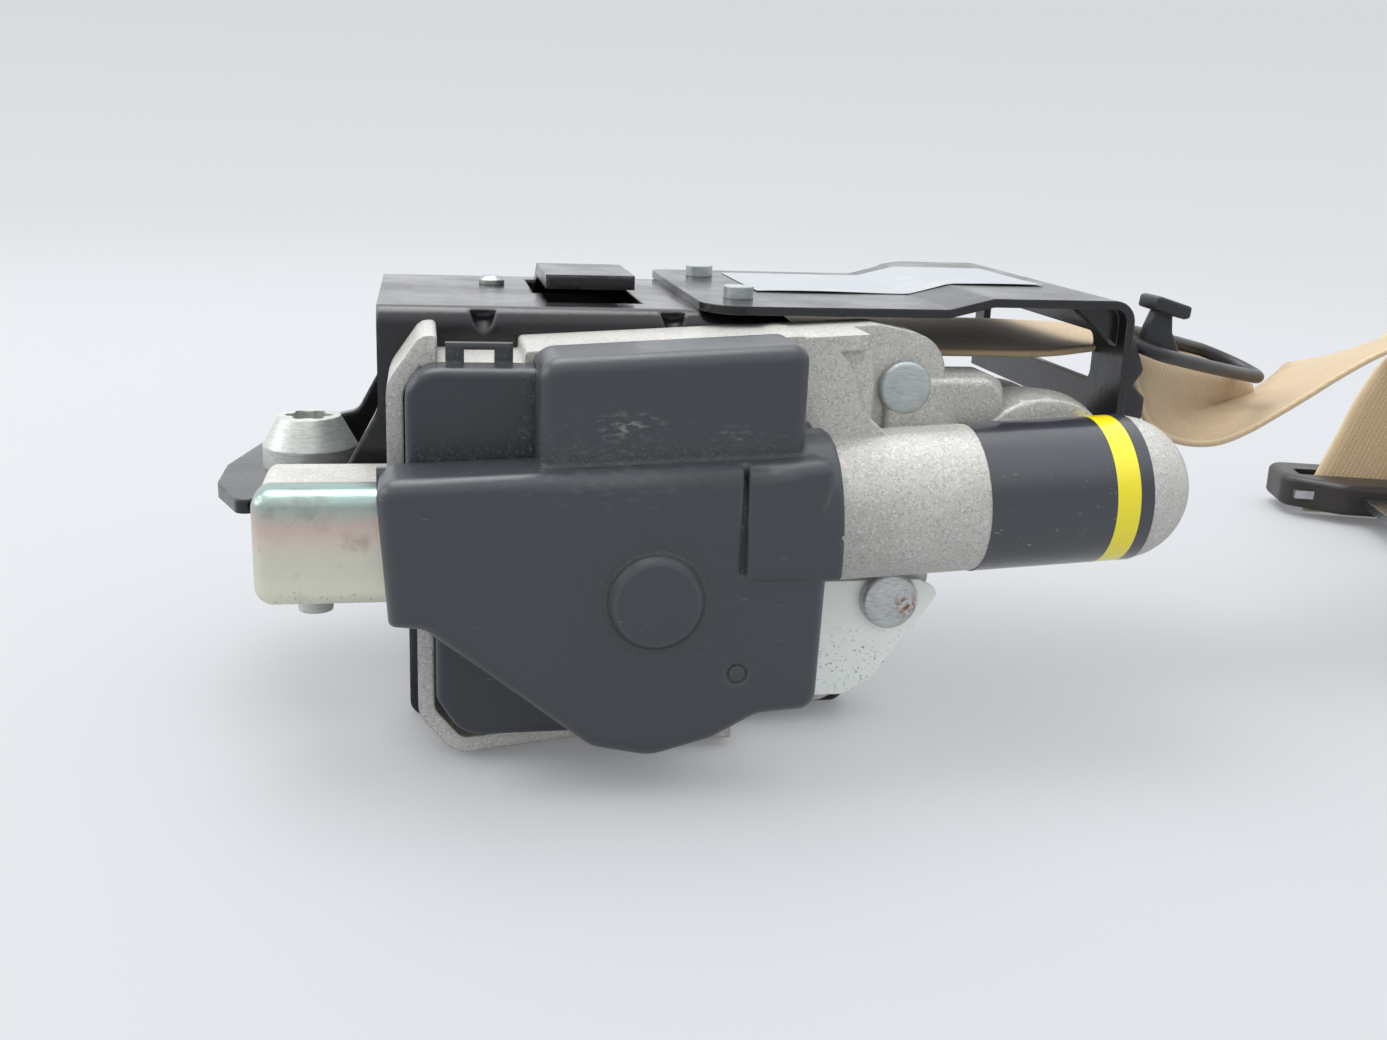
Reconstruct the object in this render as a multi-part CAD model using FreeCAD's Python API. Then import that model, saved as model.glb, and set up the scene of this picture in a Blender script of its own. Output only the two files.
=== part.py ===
import FreeCAD, Part
import math
import os

# Seat belt retractor with a rack pretensioner, belt guide, webbing, tongue and end anchor.
# Millimetres, Z up. The frame lies with its back plate on top, X runs from the anchor tab to
# the belt exit and Y runs away from the pretensioner side. The origin is the centre of the
# anchor hole at the underside of the tab.

Vector = FreeCAD.Vector
Y_AXIS = Vector(0, 1, 0)
Z_AXIS = Vector(0, 0, 1)

# Fits and gaps
RUN_GAP = 0.05

# Belt webbing
BELT_WIDTH = 47.0
BELT_THICK = 1.2

# Steel frame
SHEET = 2.5
FRAME_TOP = 37.0
FLOOR = -35.0
SIDE_PLAY = 1.3
FRAME_WIDTH = BELT_WIDTH + 2 * (SIDE_PLAY + SHEET)
FRAME_LEFT = 13.2
TOP_END = 81.2
SIDE_RIGHT = 97.2
BEND_OUTER = 3.4
LEG_LEFT = 17.7
LOBE_RIGHT = 107.0
TAB_TIP = -15.8
TAB_SHOULDER = -7.8
TAB_TIP_HALF = 7.0
HALF = FRAME_WIDTH / 2
INNER = HALF - SHEET

# Spool and its shaft line
SPOOL_X = 54.6
SPOOL_Z = -1.8
ROLL_R = 30.4
CORE_R = 11.0
FLANGE_R = 27.0
FLANGE_T = 0.9
BUSH_R = 12.0
JOURNAL_R = 7.5
TORSION_R = 4.5
HUB_R = 7.0
HUB_END = -35.4

# Anchor bolt
BOLT_R = 4.95
BOLT_LENGTH = 24.0
BOLT_HEAD_R = 8.5
BOLT_HEAD_TOP = 13.6
BOLT_COLLAR = 1.0
BOLT_SHOULDER_R = 5.6

# Belt bracket
BRACKET_T = 1.5
BRACKET_LEFT = 67.2
BRACKET_NEAR = -31.4
BRACKET_FAR = 29.6
BRACKET_RIGHT = 144.7
JOGGLE_START = 110.0
JOGGLE_RUN = 8.0
JOGGLE_RISE = 2.0
FLANGE_BOTTOM = 18.0
SLOT_NEAR = -19.4
SLOT_FAR = 33.5
SLOT_LOW = 24.5
SLOT_HIGH = 33.5
FLARE_FAR = 38.5
RIVET_X = 75.2
RIVET_NEAR = -19.3
RIVET_FAR = 17.7
SHEAR_RIVET_R = 2.65
SHEAR_RIVET_HEAD = 2.1

# Pretensioner housing
CAST_BASE = 3.0
CAST_WALL = 2.6
CAST_FRONT = -45.5
CAST_RIGHT_FRONT = -36.0
RACK_Y = -42.8
RACK_TILT = 3.1
TUBE_R = 12.5
TUBE_BORE = 9.0
TUBE_START = 63.0
TUBE_END = 151.0
DOME = 11.5
ARM_LEFT = -4.4
ARM_BACK = -32.3
ARM_TOP = 12.0
ARM_BOTTOM = -6.0
ARM_WALL = 2.0
PORT_X = 127.0
PORT_Z = 9.0
PORT_R = 14.0
PORT_BACK = -24.0
RIVET_UPPER = (101.2, 25.5)
RIVET_LOWER = (100.7, -11.8)

# Rack and pinion
GEAR_MODULE = 1.25
PINION_TEETH = 9
RACK_LEFT = 42.0
PISTON_LEFT = 104.0
PISTON_RIGHT = 118.0
RACK_R = 5.5
PINION_FRONT = -48.2
PINION_BACK = -37.1
CUP_R = 13.5
CUP_WALL = 1.6
PITCH_R = GEAR_MODULE * PINION_TEETH / 2
RACK_DROP = GEAR_MODULE * 1.02
RACK_ADDENDUM = GEAR_MODULE * 0.72

# Rack guard and its plate
GUARD_T = 1.3
GUARD_FRONT = -52.3
GUARD_LEFT = -5.1
PLATE_FRONT = -37.3

# Covers
GEAR_FRONT = -52.0
GEAR_WALL = 1.6
COVER_FRONT = -64.3
COVER_WALL = 1.8
POST_R = 6.5
BULGE_FRONT = -59.5
BUMP_R = 7.4
BUMP_RISE = 2.4

# Locking side
RATCHET_R = 18.0
RATCHET_TEETH = 24
RATCHET_T = 4.0
RATCHET_PHASE = math.radians(-11.0)
MECH_DEPTH = 13.0
MECH_WALL = 1.6
SPRING_R = 25.0
SPRING_DEPTH = 10.0
SPRING_SHEET = 0.5

NODES = {}


def keep(name, *solids):
    """Keep the solids under a node's name."""
    NODES[name] = list(solids)


def box(x0, x1, y0, y1, z0, z1):
    """A block between two corners."""
    return Part.makeBox(x1 - x0, y1 - y0, z1 - z0, Vector(x0, y0, z0))


def rod_y(radius, x, z, y0, y1):
    """A round bar along Y."""
    return Part.makeCylinder(radius, y1 - y0, Vector(x, y0, z), Y_AXIS)


def rod_z(radius, x, y, z0, z1):
    """A round bar along Z."""
    return Part.makeCylinder(radius, z1 - z0, Vector(x, y, z0), Z_AXIS)


def corner_arc(before, corner, after, radius):
    """Start, middle and end of the arc that rounds a corner."""
    to_before = (before - corner).normalize()
    to_after = (after - corner).normalize()
    half = to_before.getAngle(to_after) / 2
    reach = radius / math.tan(half)
    middle_way = (to_before + to_after).normalize()
    centre = corner + middle_way * (radius / math.sin(half))
    return corner + to_before * reach, centre - middle_way * radius, corner + to_after * reach


def outline(points):
    """Closed wire through (point, radius) pairs, with each corner rounded."""
    count = len(points)
    edges = []
    ends = []
    for index, (corner, radius) in enumerate(points):
        before = points[index - 1][0]
        after = points[(index + 1) % count][0]
        if radius > 0:
            start, middle, end = corner_arc(before, corner, after, radius)
            ends.append((start, end, Part.Arc(start, middle, end).toShape()))
        else:
            ends.append((corner, corner, None))
    for index, (start, end, arc) in enumerate(ends):
        if arc:
            edges.append(arc)
        following = ends[(index + 1) % count][0]
        if (following - end).Length > 1e-6:
            edges.append(Part.LineSegment(end, following).toShape())
    return Part.Wire(edges)


def side_face(points, y):
    """Face in an XZ plane from (x, z, radius) points."""
    return Part.Face(outline([(Vector(p[0], y, p[1]), p[2] if len(p) > 2 else 0) for p in points]))


def plate_y(points, y0, y1):
    """Plate of constant thickness along Y from (x, z, radius) points."""
    return side_face(points, y0).extrude(Vector(0, y1 - y0, 0))


def plate_z(points, z0, z1):
    """Plate of constant thickness along Z from (x, y, radius) points."""
    wire = outline([(Vector(p[0], p[1], z0), p[2] if len(p) > 2 else 0) for p in points])
    return Part.Face(wire).extrude(Vector(0, 0, z1 - z0))


def plate_x(points, x0, x1):
    """Plate of constant thickness along X from (y, z, radius) points."""
    wire = outline([(Vector(x0, p[0], p[1]), p[2] if len(p) > 2 else 0) for p in points])
    return Part.Face(wire).extrude(Vector(x1 - x0, 0, 0))


def turned_y(points, x, z):
    """Solid of revolution about a Y line at (x, z), from (radius, y) points."""
    wire = Part.makePolygon([Vector(x + r, y, z) for r, y in points + points[:1]])
    return Part.Face(wire).revolve(Vector(x, 0, z), Y_AXIS, 360)


def turned_z(points, x, y):
    """Solid of revolution about a Z line at (x, y), from (radius, z) points."""
    wire = Part.makePolygon([Vector(x + r, y, z) for r, z in points + points[:1]])
    return Part.Face(wire).revolve(Vector(x, y, 0), Z_AXIS, 360)


def rounded(shape, radius, wanted):
    """Round the edges that the test picks."""
    edges = [edge for edge in shape.Edges if wanted(edge)]
    return shape.makeFillet(radius, edges) if edges else shape


def at_y(edge, y):
    """True for an edge that lies in the plane at y."""
    box_of_edge = edge.BoundBox
    return abs(box_of_edge.YMin - y) < 1e-4 and abs(box_of_edge.YMax - y) < 1e-4


def tilted(shape):
    """Turn a piece of the rack line, made level, to the rack's slope about the spool axis."""
    turned = shape.copy()
    turned.rotate(Vector(SPOOL_X, RACK_Y, SPOOL_Z), Y_AXIS, -RACK_TILT)
    return turned


# Level height of the rack line, before it is tilted about the spool axis
RACK_LEVEL = SPOOL_Z + PITCH_R + RACK_DROP


def rack_rod(radius, x0, x1):
    """Round bar on the rack line."""
    bar = Part.makeCylinder(radius, x1 - x0, Vector(x0, RACK_Y, RACK_LEVEL), Vector(1, 0, 0))
    return tilted(bar)


def side_outline(lobe):
    """Outline of a side plate of the frame."""
    right = [(TOP_END, FRAME_TOP), (TOP_END + 4, FRAME_TOP - 3.5, 2)]
    if lobe:
        right += [(LOBE_RIGHT - 3, FRAME_TOP - 5, 5), (LOBE_RIGHT, 24, 6), (LOBE_RIGHT, -14, 6)]
        right += [(SIDE_RIGHT, -23, 3)]
    else:
        right += [(SIDE_RIGHT, FRAME_TOP - 9, 5)]
    left = [(SIDE_RIGHT, FLOOR, 3), (LEG_LEFT, FLOOR, 3), (LEG_LEFT, 0, 2), (TAB_SHOULDER, 0)]
    left += [(TAB_SHOULDER, SHEET), (1.5, 8.0, 2), (7.5, 9.5, 3), (FRAME_LEFT, 20, 5)]
    return [(FRAME_LEFT, FRAME_TOP)] + right + left


def make_frame():
    """U-frame with its tab, windows, raised tongue and bearing holes."""
    section = [(-HALF, FLOOR), (-HALF, FRAME_TOP, BEND_OUTER), (HALF, FRAME_TOP, BEND_OUTER), (HALF, FLOOR)]
    section += [(INNER, FLOOR), (INNER, FRAME_TOP - SHEET, BEND_OUTER - SHEET)]
    section += [(-INNER, FRAME_TOP - SHEET, BEND_OUTER - SHEET), (-INNER, FLOOR)]
    channel = plate_x(section, TAB_SHOULDER, LOBE_RIGHT)
    near = plate_y(side_outline(True), -HALF, 0)
    far = plate_y(side_outline(False), 0, HALF)
    frame = channel.common(near.fuse(far))
    end_wall = box(FRAME_LEFT, FRAME_LEFT + SHEET, -INNER, INNER, 0, FRAME_TOP - SHEET)
    tab_points = [(FRAME_LEFT + SHEET, -INNER), (FRAME_LEFT + SHEET, INNER), (TAB_SHOULDER, INNER)]
    tab_points += [(TAB_SHOULDER, HALF), (TAB_SHOULDER - 3.5, HALF, 2), (TAB_TIP, TAB_TIP_HALF, 3)]
    tab_points += [(TAB_TIP, -TAB_TIP_HALF, 3), (TAB_SHOULDER, -HALF, 2), (TAB_SHOULDER, -INNER)]
    tab = plate_z(tab_points, 0, SHEET)
    frame = frame.fuse([end_wall, tab])
    window = box(41.9, 58.4, -17.9, 18.5, FRAME_TOP - SHEET - 1, FRAME_TOP + 1)
    slit = box(40.4, 41.9, -4.5, 18.5, FRAME_TOP - SHEET - 1, FRAME_TOP + 1)
    frame = frame.cut([window, slit])
    rise = 4.0
    flap_points = [(18.5, FRAME_TOP - SHEET), (18.5, FRAME_TOP), (11.5, FRAME_TOP + rise, 2)]
    flap_points += [(-10.4, FRAME_TOP + rise), (-10.4, FRAME_TOP + rise - SHEET)]
    flap_points += [(10.6, FRAME_TOP + rise - SHEET, 2)]
    flap = plate_x(flap_points, 42.2, 58.1)
    frame = frame.fuse(flap)
    cuts = [rod_z(BOLT_SHOULDER_R + RUN_GAP, 0, 0, -1, SHEET + 1)]
    cuts.append(rod_y(BUSH_R, SPOOL_X, SPOOL_Z, -HALF - 1, HALF + 1))
    cuts.append(rod_z(1.5, 33.6, 9.7, FRAME_TOP - 4, FRAME_TOP + 1))
    for x, z in TIE_PLACES:
        cuts.append(rod_y(TIE_TENON_R, x, z, -HALF - 1, HALF + 1))
    for y in (RIVET_NEAR, RIVET_FAR):
        cuts.append(rod_z(SHEAR_RIVET_R - 0.6, RIVET_X, y, FRAME_TOP - 4, FRAME_TOP + 1))
    for x, z in (RIVET_UPPER, RIVET_LOWER):
        cuts.append(rod_y(RIVET_SHANK_R, x, z, -HALF - 1, -INNER + 1))
    cuts.append(rod_y(PAWL_PIN_R, PAWL_X, PAWL_Z, INNER - 1, HALF + 1))
    for x, z in SCREW_PLACES:
        cuts.append(rod_y(SCREW_SHANK_R, x, z, INNER - 1, HALF + 1))
    for x in (30.5, 62.5):
        notch = Part.makeCone(0.4, 2.4, 7, Vector(x, -HALF - 2.6, FRAME_TOP - 6.2), Vector(0, 0.55, 1))
        cuts.append(notch)
    return frame.cut(cuts)


TIE_PLACES = ((25.5, -28.5), (91.0, -28.0))
TIE_R = 3.5
TIE_TENON_R = 2.6
RIVET_SHANK_R = 2.9
PAWL_X = 80.5
PAWL_Z = -17.0
PAWL_PIN_R = 2.2
SCREW_PLACES = ((26.0, 24.0), (88.0, 20.0), (91.5, -19.0))
SCREW_SHANK_R = 1.6


def make_tie_rods():
    """Two shouldered bars that hold the side plates apart."""
    rods = []
    for x, z in TIE_PLACES:
        bar = rod_y(TIE_R, x, z, -INNER, INNER)
        rods.append(bar.fuse(rod_y(TIE_TENON_R, x, z, -HALF, HALF)))
    return rods


def make_bracket():
    """Joggled bracket with a flange that has the belt slot."""
    top = FRAME_TOP + BRACKET_T
    run_end = JOGGLE_START + JOGGLE_RUN
    inner_x = BRACKET_RIGHT - BRACKET_T
    profile = [(BRACKET_LEFT, top), (JOGGLE_START, top, 4), (run_end, top + JOGGLE_RISE, 4)]
    profile += [(BRACKET_RIGHT, top + JOGGLE_RISE, 4.0), (BRACKET_RIGHT, FLANGE_BOTTOM)]
    profile += [(inner_x, FLANGE_BOTTOM), (inner_x, FRAME_TOP + JOGGLE_RISE, 2.5)]
    profile += [(run_end, FRAME_TOP + JOGGLE_RISE, 4), (JOGGLE_START, FRAME_TOP, 4)]
    profile += [(BRACKET_LEFT, FRAME_TOP)]
    strip = plate_y(profile, BRACKET_NEAR - 1, FLARE_FAR + 1)
    plan = [(BRACKET_LEFT, BRACKET_NEAR, 7), (BRACKET_RIGHT + 1, BRACKET_NEAR)]
    plan += [(BRACKET_RIGHT + 1, FLARE_FAR), (JOGGLE_START + 14, FLARE_FAR, 6)]
    plan += [(JOGGLE_START + 6, BRACKET_FAR, 6), (BRACKET_LEFT, BRACKET_FAR, 3)]
    bracket = strip.common(plate_z(plan, 0, 60))
    slot = plate_x([(SLOT_NEAR, SLOT_LOW, 2), (SLOT_NEAR, SLOT_HIGH, 2), (SLOT_FAR, SLOT_HIGH, 2),
                    (SLOT_FAR, SLOT_LOW, 2)], inner_x - 3, BRACKET_RIGHT + 1)
    bracket = bracket.cut(slot)
    ribs = []
    for y in (BRACKET_NEAR + 4.5, FLARE_FAR - 4.5):
        rib = plate_y([(inner_x + 0.2, FRAME_TOP - 5), (inner_x + 0.2, FRAME_TOP + JOGGLE_RISE + 0.2),
                       (inner_x - 9, FRAME_TOP + JOGGLE_RISE + 0.2)], y - 1.5, y + 1.5)
        ribs.append(rib)
    bracket = bracket.fuse(ribs)
    holes = [rod_z(SHEAR_RIVET_R - 0.6, RIVET_X, y, FRAME_TOP - 1, top + 1)
             for y in (RIVET_NEAR, RIVET_FAR)]
    return bracket.cut(holes)


def make_bracket_rivets():
    """Two shear rivets through the bracket and the back plate."""
    top = FRAME_TOP + BRACKET_T
    rivets = []
    for y in (RIVET_NEAR, RIVET_FAR):
        head = rod_z(SHEAR_RIVET_R, RIVET_X, y, top, top + SHEAR_RIVET_HEAD)
        shank = rod_z(SHEAR_RIVET_R - 0.6, RIVET_X, y, FRAME_TOP - SHEET - 1, top)
        tail = rod_z(SHEAR_RIVET_R + 0.3, RIVET_X, y, FRAME_TOP - SHEET - 1, FRAME_TOP - SHEET)
        rivets.append(head.fuse([shank, tail]))
    return rivets


def make_top_screw():
    """Small locating screw in the back plate."""
    head = turned_z([(0, FRAME_TOP), (2.4, FRAME_TOP), (2.4, FRAME_TOP + 0.9), (1.5, FRAME_TOP + 1.6),
                     (0, FRAME_TOP + 1.6)], 33.6, 9.7)
    return head.fuse(rod_z(1.5, 33.6, 9.7, FRAME_TOP - SHEET - 1.5, FRAME_TOP))


def make_anchor_bolt():
    """Anchor bolt with a pan head, a six-lobe socket and a pilot end."""
    low = SHEET + RUN_GAP
    seat = low + BOLT_COLLAR
    body = turned_z([(0, -BOLT_LENGTH), (3.2, -BOLT_LENGTH), (3.6, -BOLT_LENGTH + 3),
                     (BOLT_R, -BOLT_LENGTH + 5),
                     (BOLT_R, 0), (BOLT_SHOULDER_R, 0), (BOLT_SHOULDER_R, low), (6.6, low), (6.6, seat),
                     (BOLT_HEAD_R - 0.3, seat), (BOLT_HEAD_R, seat + 0.6), (BOLT_HEAD_R, seat + 4.6),
                     (5.6, BOLT_HEAD_TOP),
                     (0, BOLT_HEAD_TOP)], 0, 0)
    socket = rod_z(3.3, 0, 0, BOLT_HEAD_TOP - 4.5, BOLT_HEAD_TOP + 1)
    lobes = []
    for turn in range(6):
        angle = math.radians(60 * turn)
        lobes.append(rod_z(1.15, 3.1 * math.cos(angle), 3.1 * math.sin(angle),
                           BOLT_HEAD_TOP - 4.5, BOLT_HEAD_TOP + 1))
    return body.cut(socket.fuse(lobes))


def make_bush(y_inner, y_outer):
    """Plastic bush in a side plate, with a thin flange inside."""
    low, high = sorted((y_inner, y_outer))
    ring = rod_y(BUSH_R, SPOOL_X, SPOOL_Z, low, high)
    return ring.cut(rod_y(JOURNAL_R + RUN_GAP, SPOOL_X, SPOOL_Z, low - 1, high + 1))


def make_spool():
    """Spool core with two flanges, journals, clutch hub and webbing slot."""
    edge = BELT_WIDTH / 2 + 0.1
    bore = TORSION_R + RUN_GAP
    points = [(bore, HUB_END), (HUB_R, HUB_END), (HUB_R, -HALF - 0.6), (JOURNAL_R, -HALF - 0.6)]
    points += [(JOURNAL_R, -edge - FLANGE_T), (FLANGE_R, -edge - FLANGE_T), (FLANGE_R, -edge)]
    points += [(CORE_R, -edge), (CORE_R, edge)]
    points += [(FLANGE_R, edge), (FLANGE_R, edge + FLANGE_T), (JOURNAL_R, edge + FLANGE_T)]
    points += [(JOURNAL_R, HALF + 0.6), (bore, HALF + 0.6)]
    spool = turned_y(points, SPOOL_X, SPOOL_Z)
    pin_slot = box(SPOOL_X - 9.8, SPOOL_X - 6.2, -edge, edge, SPOOL_Z - 2.5, SPOOL_Z + 2.5)
    return spool.cut(pin_slot)


def make_torsion_bar():
    """Torsion bar through the spool, with a splined head at the locking side."""
    neck = TORSION_R - 1.4
    points = [(0, HUB_END), (TORSION_R, HUB_END), (TORSION_R, HUB_END + 12), (neck, HUB_END + 14)]
    points += [(neck, HALF - 14), (TORSION_R, HALF - 12), (TORSION_R, HALF + 0.6), (0, HALF + 0.6)]
    return turned_y(points, SPOOL_X, SPOOL_Z)


def make_webbing_pin():
    """Pin in the spool that holds the sewn loop of the webbing."""
    return rod_y(1.7, SPOOL_X - 8.0, SPOOL_Z, -BELT_WIDTH / 2, BELT_WIDTH / 2)


def make_webbing_roll():
    """Wound webbing as one ring on the spool core."""
    ring = rod_y(ROLL_R, SPOOL_X, SPOOL_Z, -BELT_WIDTH / 2, BELT_WIDTH / 2)
    return ring.cut(rod_y(CORE_R + RUN_GAP, SPOOL_X, SPOOL_Z, -BELT_WIDTH, BELT_WIDTH))


def casting_points():
    """Outline of the housing's tray on the near side plate."""
    points = [(15.0, 27.5, 6.5), (20.3, 35.0, 2.5), (22.8, 35.0, 0.8), (22.8, 30.6, 0.4)]
    points += [(36.2, 30.6, 0.4), (36.2, 32.7, 0.8), (96.0, 36.3, 2.0), (108.2, 34.0, 7.0)]
    points += [(108.2, -9.0, 3.0), (98.0, -27.0, 3.0), (90.0, -31.0, 4.0), (70.0, -33.4, 10.0)]
    points += [(45.0, -32.0, 5.0), (25.0, -34.2, 5.0), (19.2, -27.0, 5.0)]
    points += [(19.2, -8.0, 1.0), (15.0, -8.0, 0.6)]
    return points


def make_housing():
    """Die-cast tray, tube, arm and generator boss of the pretensioner in one casting."""
    face = side_face(casting_points(), CAST_FRONT)
    depth = -HALF - CAST_FRONT
    body = face.extrude(Vector(0, depth, 0))
    hollow = face.makeOffset2D(-CAST_WALL).extrude(Vector(0, depth - CAST_BASE, 0))
    hollow.translate(Vector(0, -0.01, 0))
    body = body.cut(hollow)
    right_block = plate_y([(90.5, 40), (112, 40), (112, -40), (90.5, -40)],
                          CAST_RIGHT_FRONT, -HALF - CAST_BASE + 0.5)
    right_block = right_block.common(side_face(casting_points(), CAST_FRONT).extrude(Vector(0, depth, 0)))
    front_cut = plate_y([(91.5, 60), (130, 60), (130, -60), (91.5, -60)], CAST_FRONT - 1, CAST_RIGHT_FRONT)
    body = body.cut(front_cut).fuse(right_block)
    boss = rod_y(11.0, 79.6, 24.6, CAST_FRONT - 0.2, -HALF - CAST_BASE + 0.5)
    boss = boss.common(box(60, 120, -60, 0, 12, 36.0))
    tube = revolve_tube()
    lug = plate_y([(100, 21.0), (100, 28.0), (119.4, 28.0, 3.4), (119.4, 21.0, 3.4)], -35.4, -HALF)
    arm = box(ARM_LEFT, 17, CAST_FRONT - 0.2, ARM_BACK, ARM_BOTTOM, ARM_TOP)
    arm = rounded(arm, 2.0, lambda e: abs(e.BoundBox.XMax - ARM_LEFT) < 1e-6 and e.BoundBox.YLength < 1e-6
                  or (abs(e.BoundBox.XMax - ARM_LEFT) < 1e-6 and e.BoundBox.ZLength < 1e-6))
    generator_boss = turned_y([(0, RACK_Y), (PORT_R, RACK_Y), (PORT_R + 2, -32), (PORT_R + 1, PORT_BACK),
                               (0, PORT_BACK)], PORT_X, PORT_Z)
    generator_boss = generator_boss.cut(box(60, 200, -80, RACK_Y + 4, -40, 60))
    body = body.fuse([boss, tube, lug, arm, generator_boss])
    arm_hollow = box(ARM_LEFT + ARM_WALL, 21, CAST_FRONT - 1, ARM_BACK - ARM_WALL, ARM_BOTTOM + ARM_WALL,
                     ARM_TOP - ARM_WALL)
    cuts = [arm_hollow, rack_rod(TUBE_BORE, TUBE_START - 3, TUBE_END - 6)]
    cuts.append(rack_rod(RACK_R + 1.5, 10, TUBE_START))
    cuts.append(rod_y(CLUTCH_HOLE_R, SPOOL_X, SPOOL_Z, CAST_FRONT - 1, -HALF + 1))
    cuts.append(rod_y(GENERATOR_R, PORT_X, PORT_Z, GENERATOR_FRONT, PORT_BACK + 1))
    cuts.append(rod_y(3.5, PORT_X, PORT_Z, RACK_Y, GENERATOR_FRONT + 1))
    for x, z in (RIVET_UPPER, RIVET_LOWER):
        cuts.append(rod_y(RIVET_SHANK_R, x, z, -60, -HALF + 1))
    cuts.append(box(71.5, 113, -60, GUARD_PLATE_BACK, -60, -8.0))
    return body.cut(cuts)


CLUTCH_HOLE_R = 15.5
GENERATOR_R = 10.0
GENERATOR_FRONT = -35.5
GUARD_PLATE_BACK = PLATE_FRONT + 1.3


def revolve_tube():
    """Outer form of the pressure tube with its domed end."""
    start = Vector(TUBE_START, RACK_Y, RACK_LEVEL)
    top = Vector(TUBE_START, RACK_Y, RACK_LEVEL + TUBE_R)
    shoulder = Vector(TUBE_END - DOME, RACK_Y, RACK_LEVEL + TUBE_R)
    tip = Vector(TUBE_END, RACK_Y, RACK_LEVEL)
    middle = Vector(TUBE_END - DOME + DOME * math.sin(math.radians(52)), RACK_Y,
                    RACK_LEVEL + TUBE_R * math.cos(math.radians(52)))
    edges = [Part.LineSegment(start, top).toShape(), Part.LineSegment(top, shoulder).toShape(),
             Part.Arc(shoulder, middle, tip).toShape(), Part.LineSegment(tip, start).toShape()]
    solid = Part.Face(Part.Wire(edges)).revolve(start, Vector(1, 0, 0), 360)
    return tilted(solid)


def make_guard():
    """Zinc-plated stamping: channel over the rack's run-out and the flat plate beside it."""
    outer = box(GUARD_LEFT, 30, GUARD_FRONT, CAST_FRONT - 0.2, ARM_BOTTOM, ARM_TOP + 0.3)
    outer = rounded(outer, 3.0, lambda e: at_y(e, GUARD_FRONT) or
                    (abs(e.BoundBox.XMax - GUARD_LEFT) < 1e-6 and e.BoundBox.YLength > 1))
    inner = box(GUARD_LEFT + GUARD_T, 31, GUARD_FRONT + GUARD_T, CAST_FRONT + 1, ARM_BOTTOM + GUARD_T,
                ARM_TOP + 0.3 - GUARD_T)
    return outer.cut(inner)


def make_base_plate():
    """Zinc-plated plate in front of the housing's lower flange."""
    points = [(72.0, -8.3, 1), (106.4, -8.3, 1.5), (110.3, -10.5, 1.5), (98.9, -26.6, 2), (93.8, -29.6, 2)]
    points += [(72.0, -29.6, 2)]
    plate = plate_y(points, PLATE_FRONT, GUARD_PLATE_BACK)
    rivet_hole = rod_y(RIVET_SHANK_R, RIVET_LOWER[0], RIVET_LOWER[1], -60, 0)
    return plate.cut([rivet_hole, rack_rod(TUBE_R + 0.1, 60, 152)])


def make_housing_rivets():
    """Two rivets that clamp the housing to the side plate."""
    upper = turned_y([(0, -INNER), (RIVET_SHANK_R, -INNER), (RIVET_SHANK_R, CAST_RIGHT_FRONT),
                      (4.6, CAST_RIGHT_FRONT), (4.6, CAST_RIGHT_FRONT - 1.4), (3.6, CAST_RIGHT_FRONT - 2.2),
                      (0, CAST_RIGHT_FRONT - 2.4)], *RIVET_UPPER)
    lower = turned_y([(0, -INNER), (RIVET_SHANK_R, -INNER), (RIVET_SHANK_R, PLATE_FRONT),
                      (5.1, PLATE_FRONT), (5.1, PLATE_FRONT - 2.6), (4.2, PLATE_FRONT - 3.4),
                      (0, PLATE_FRONT - 3.6)], *RIVET_LOWER)
    return [upper, lower]


def gear_cover_points():
    """Outline of the inner side cover."""
    return [(17.9, 31.0, 5.0), (62.0, 31.0, 3.0), (62.0, -28.4, 3.0), (26.0, -28.4, 6.0),
            (22.1, -22.0, 4.0), (22.1, -3.0, 2.0), (17.9, 9.0, 2.0)]


def make_gear_cover():
    """Inner side cover: a shallow shell on the housing's front edge with a clip loop."""
    face = side_face(gear_cover_points(), GEAR_FRONT)
    depth = CAST_FRONT - GEAR_FRONT
    shell = face.extrude(Vector(0, depth, 0))
    shell = rounded(shell, 1.4, lambda e: at_y(e, GEAR_FRONT))
    hollow = face.makeOffset2D(-GEAR_WALL).extrude(Vector(0, depth + 1, 0))
    hollow.translate(Vector(0, GEAR_WALL, 0))
    shell = shell.cut(hollow)
    loop = box(24.0, 34.2, CAST_FRONT - 1.6, CAST_FRONT, 28.5, 34.2)
    loop = loop.cut(box(26.8, 31.4, CAST_FRONT - 3, CAST_FRONT + 1, 30.0, 33.2))
    guard_gate = box(10, 30.6, -60, CAST_FRONT + 1, ARM_BOTTOM - 0.3, ARM_TOP + 0.6)
    post_slot = rod_y(POST_R + 0.6, SPOOL_X, SPOOL_Z, -60, -40)
    post_slot = post_slot.fuse(box(SPOOL_X, 70, -60, -40, SPOOL_Z - POST_R - 0.6, SPOOL_Z + POST_R + 0.6))
    return shell.fuse(loop).cut([guard_gate, rack_rod(RACK_R + 1, 10, 70), post_slot])


def cover_points():
    """Outline of the front cover's main face."""
    return [(13.6, 16.6, 3.0), (82.0, 19.5, 2.0), (81.0, -21.0, 3.0), (71.5, -21.6, 6.0), (64.5, -25.4, 6.0),
            (54.7, -28.0, 8.0), (45.4, -26.0, 5.0), (20.3, -6.2, 3.0), (15.2, -5.6, 1.0)]


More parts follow.
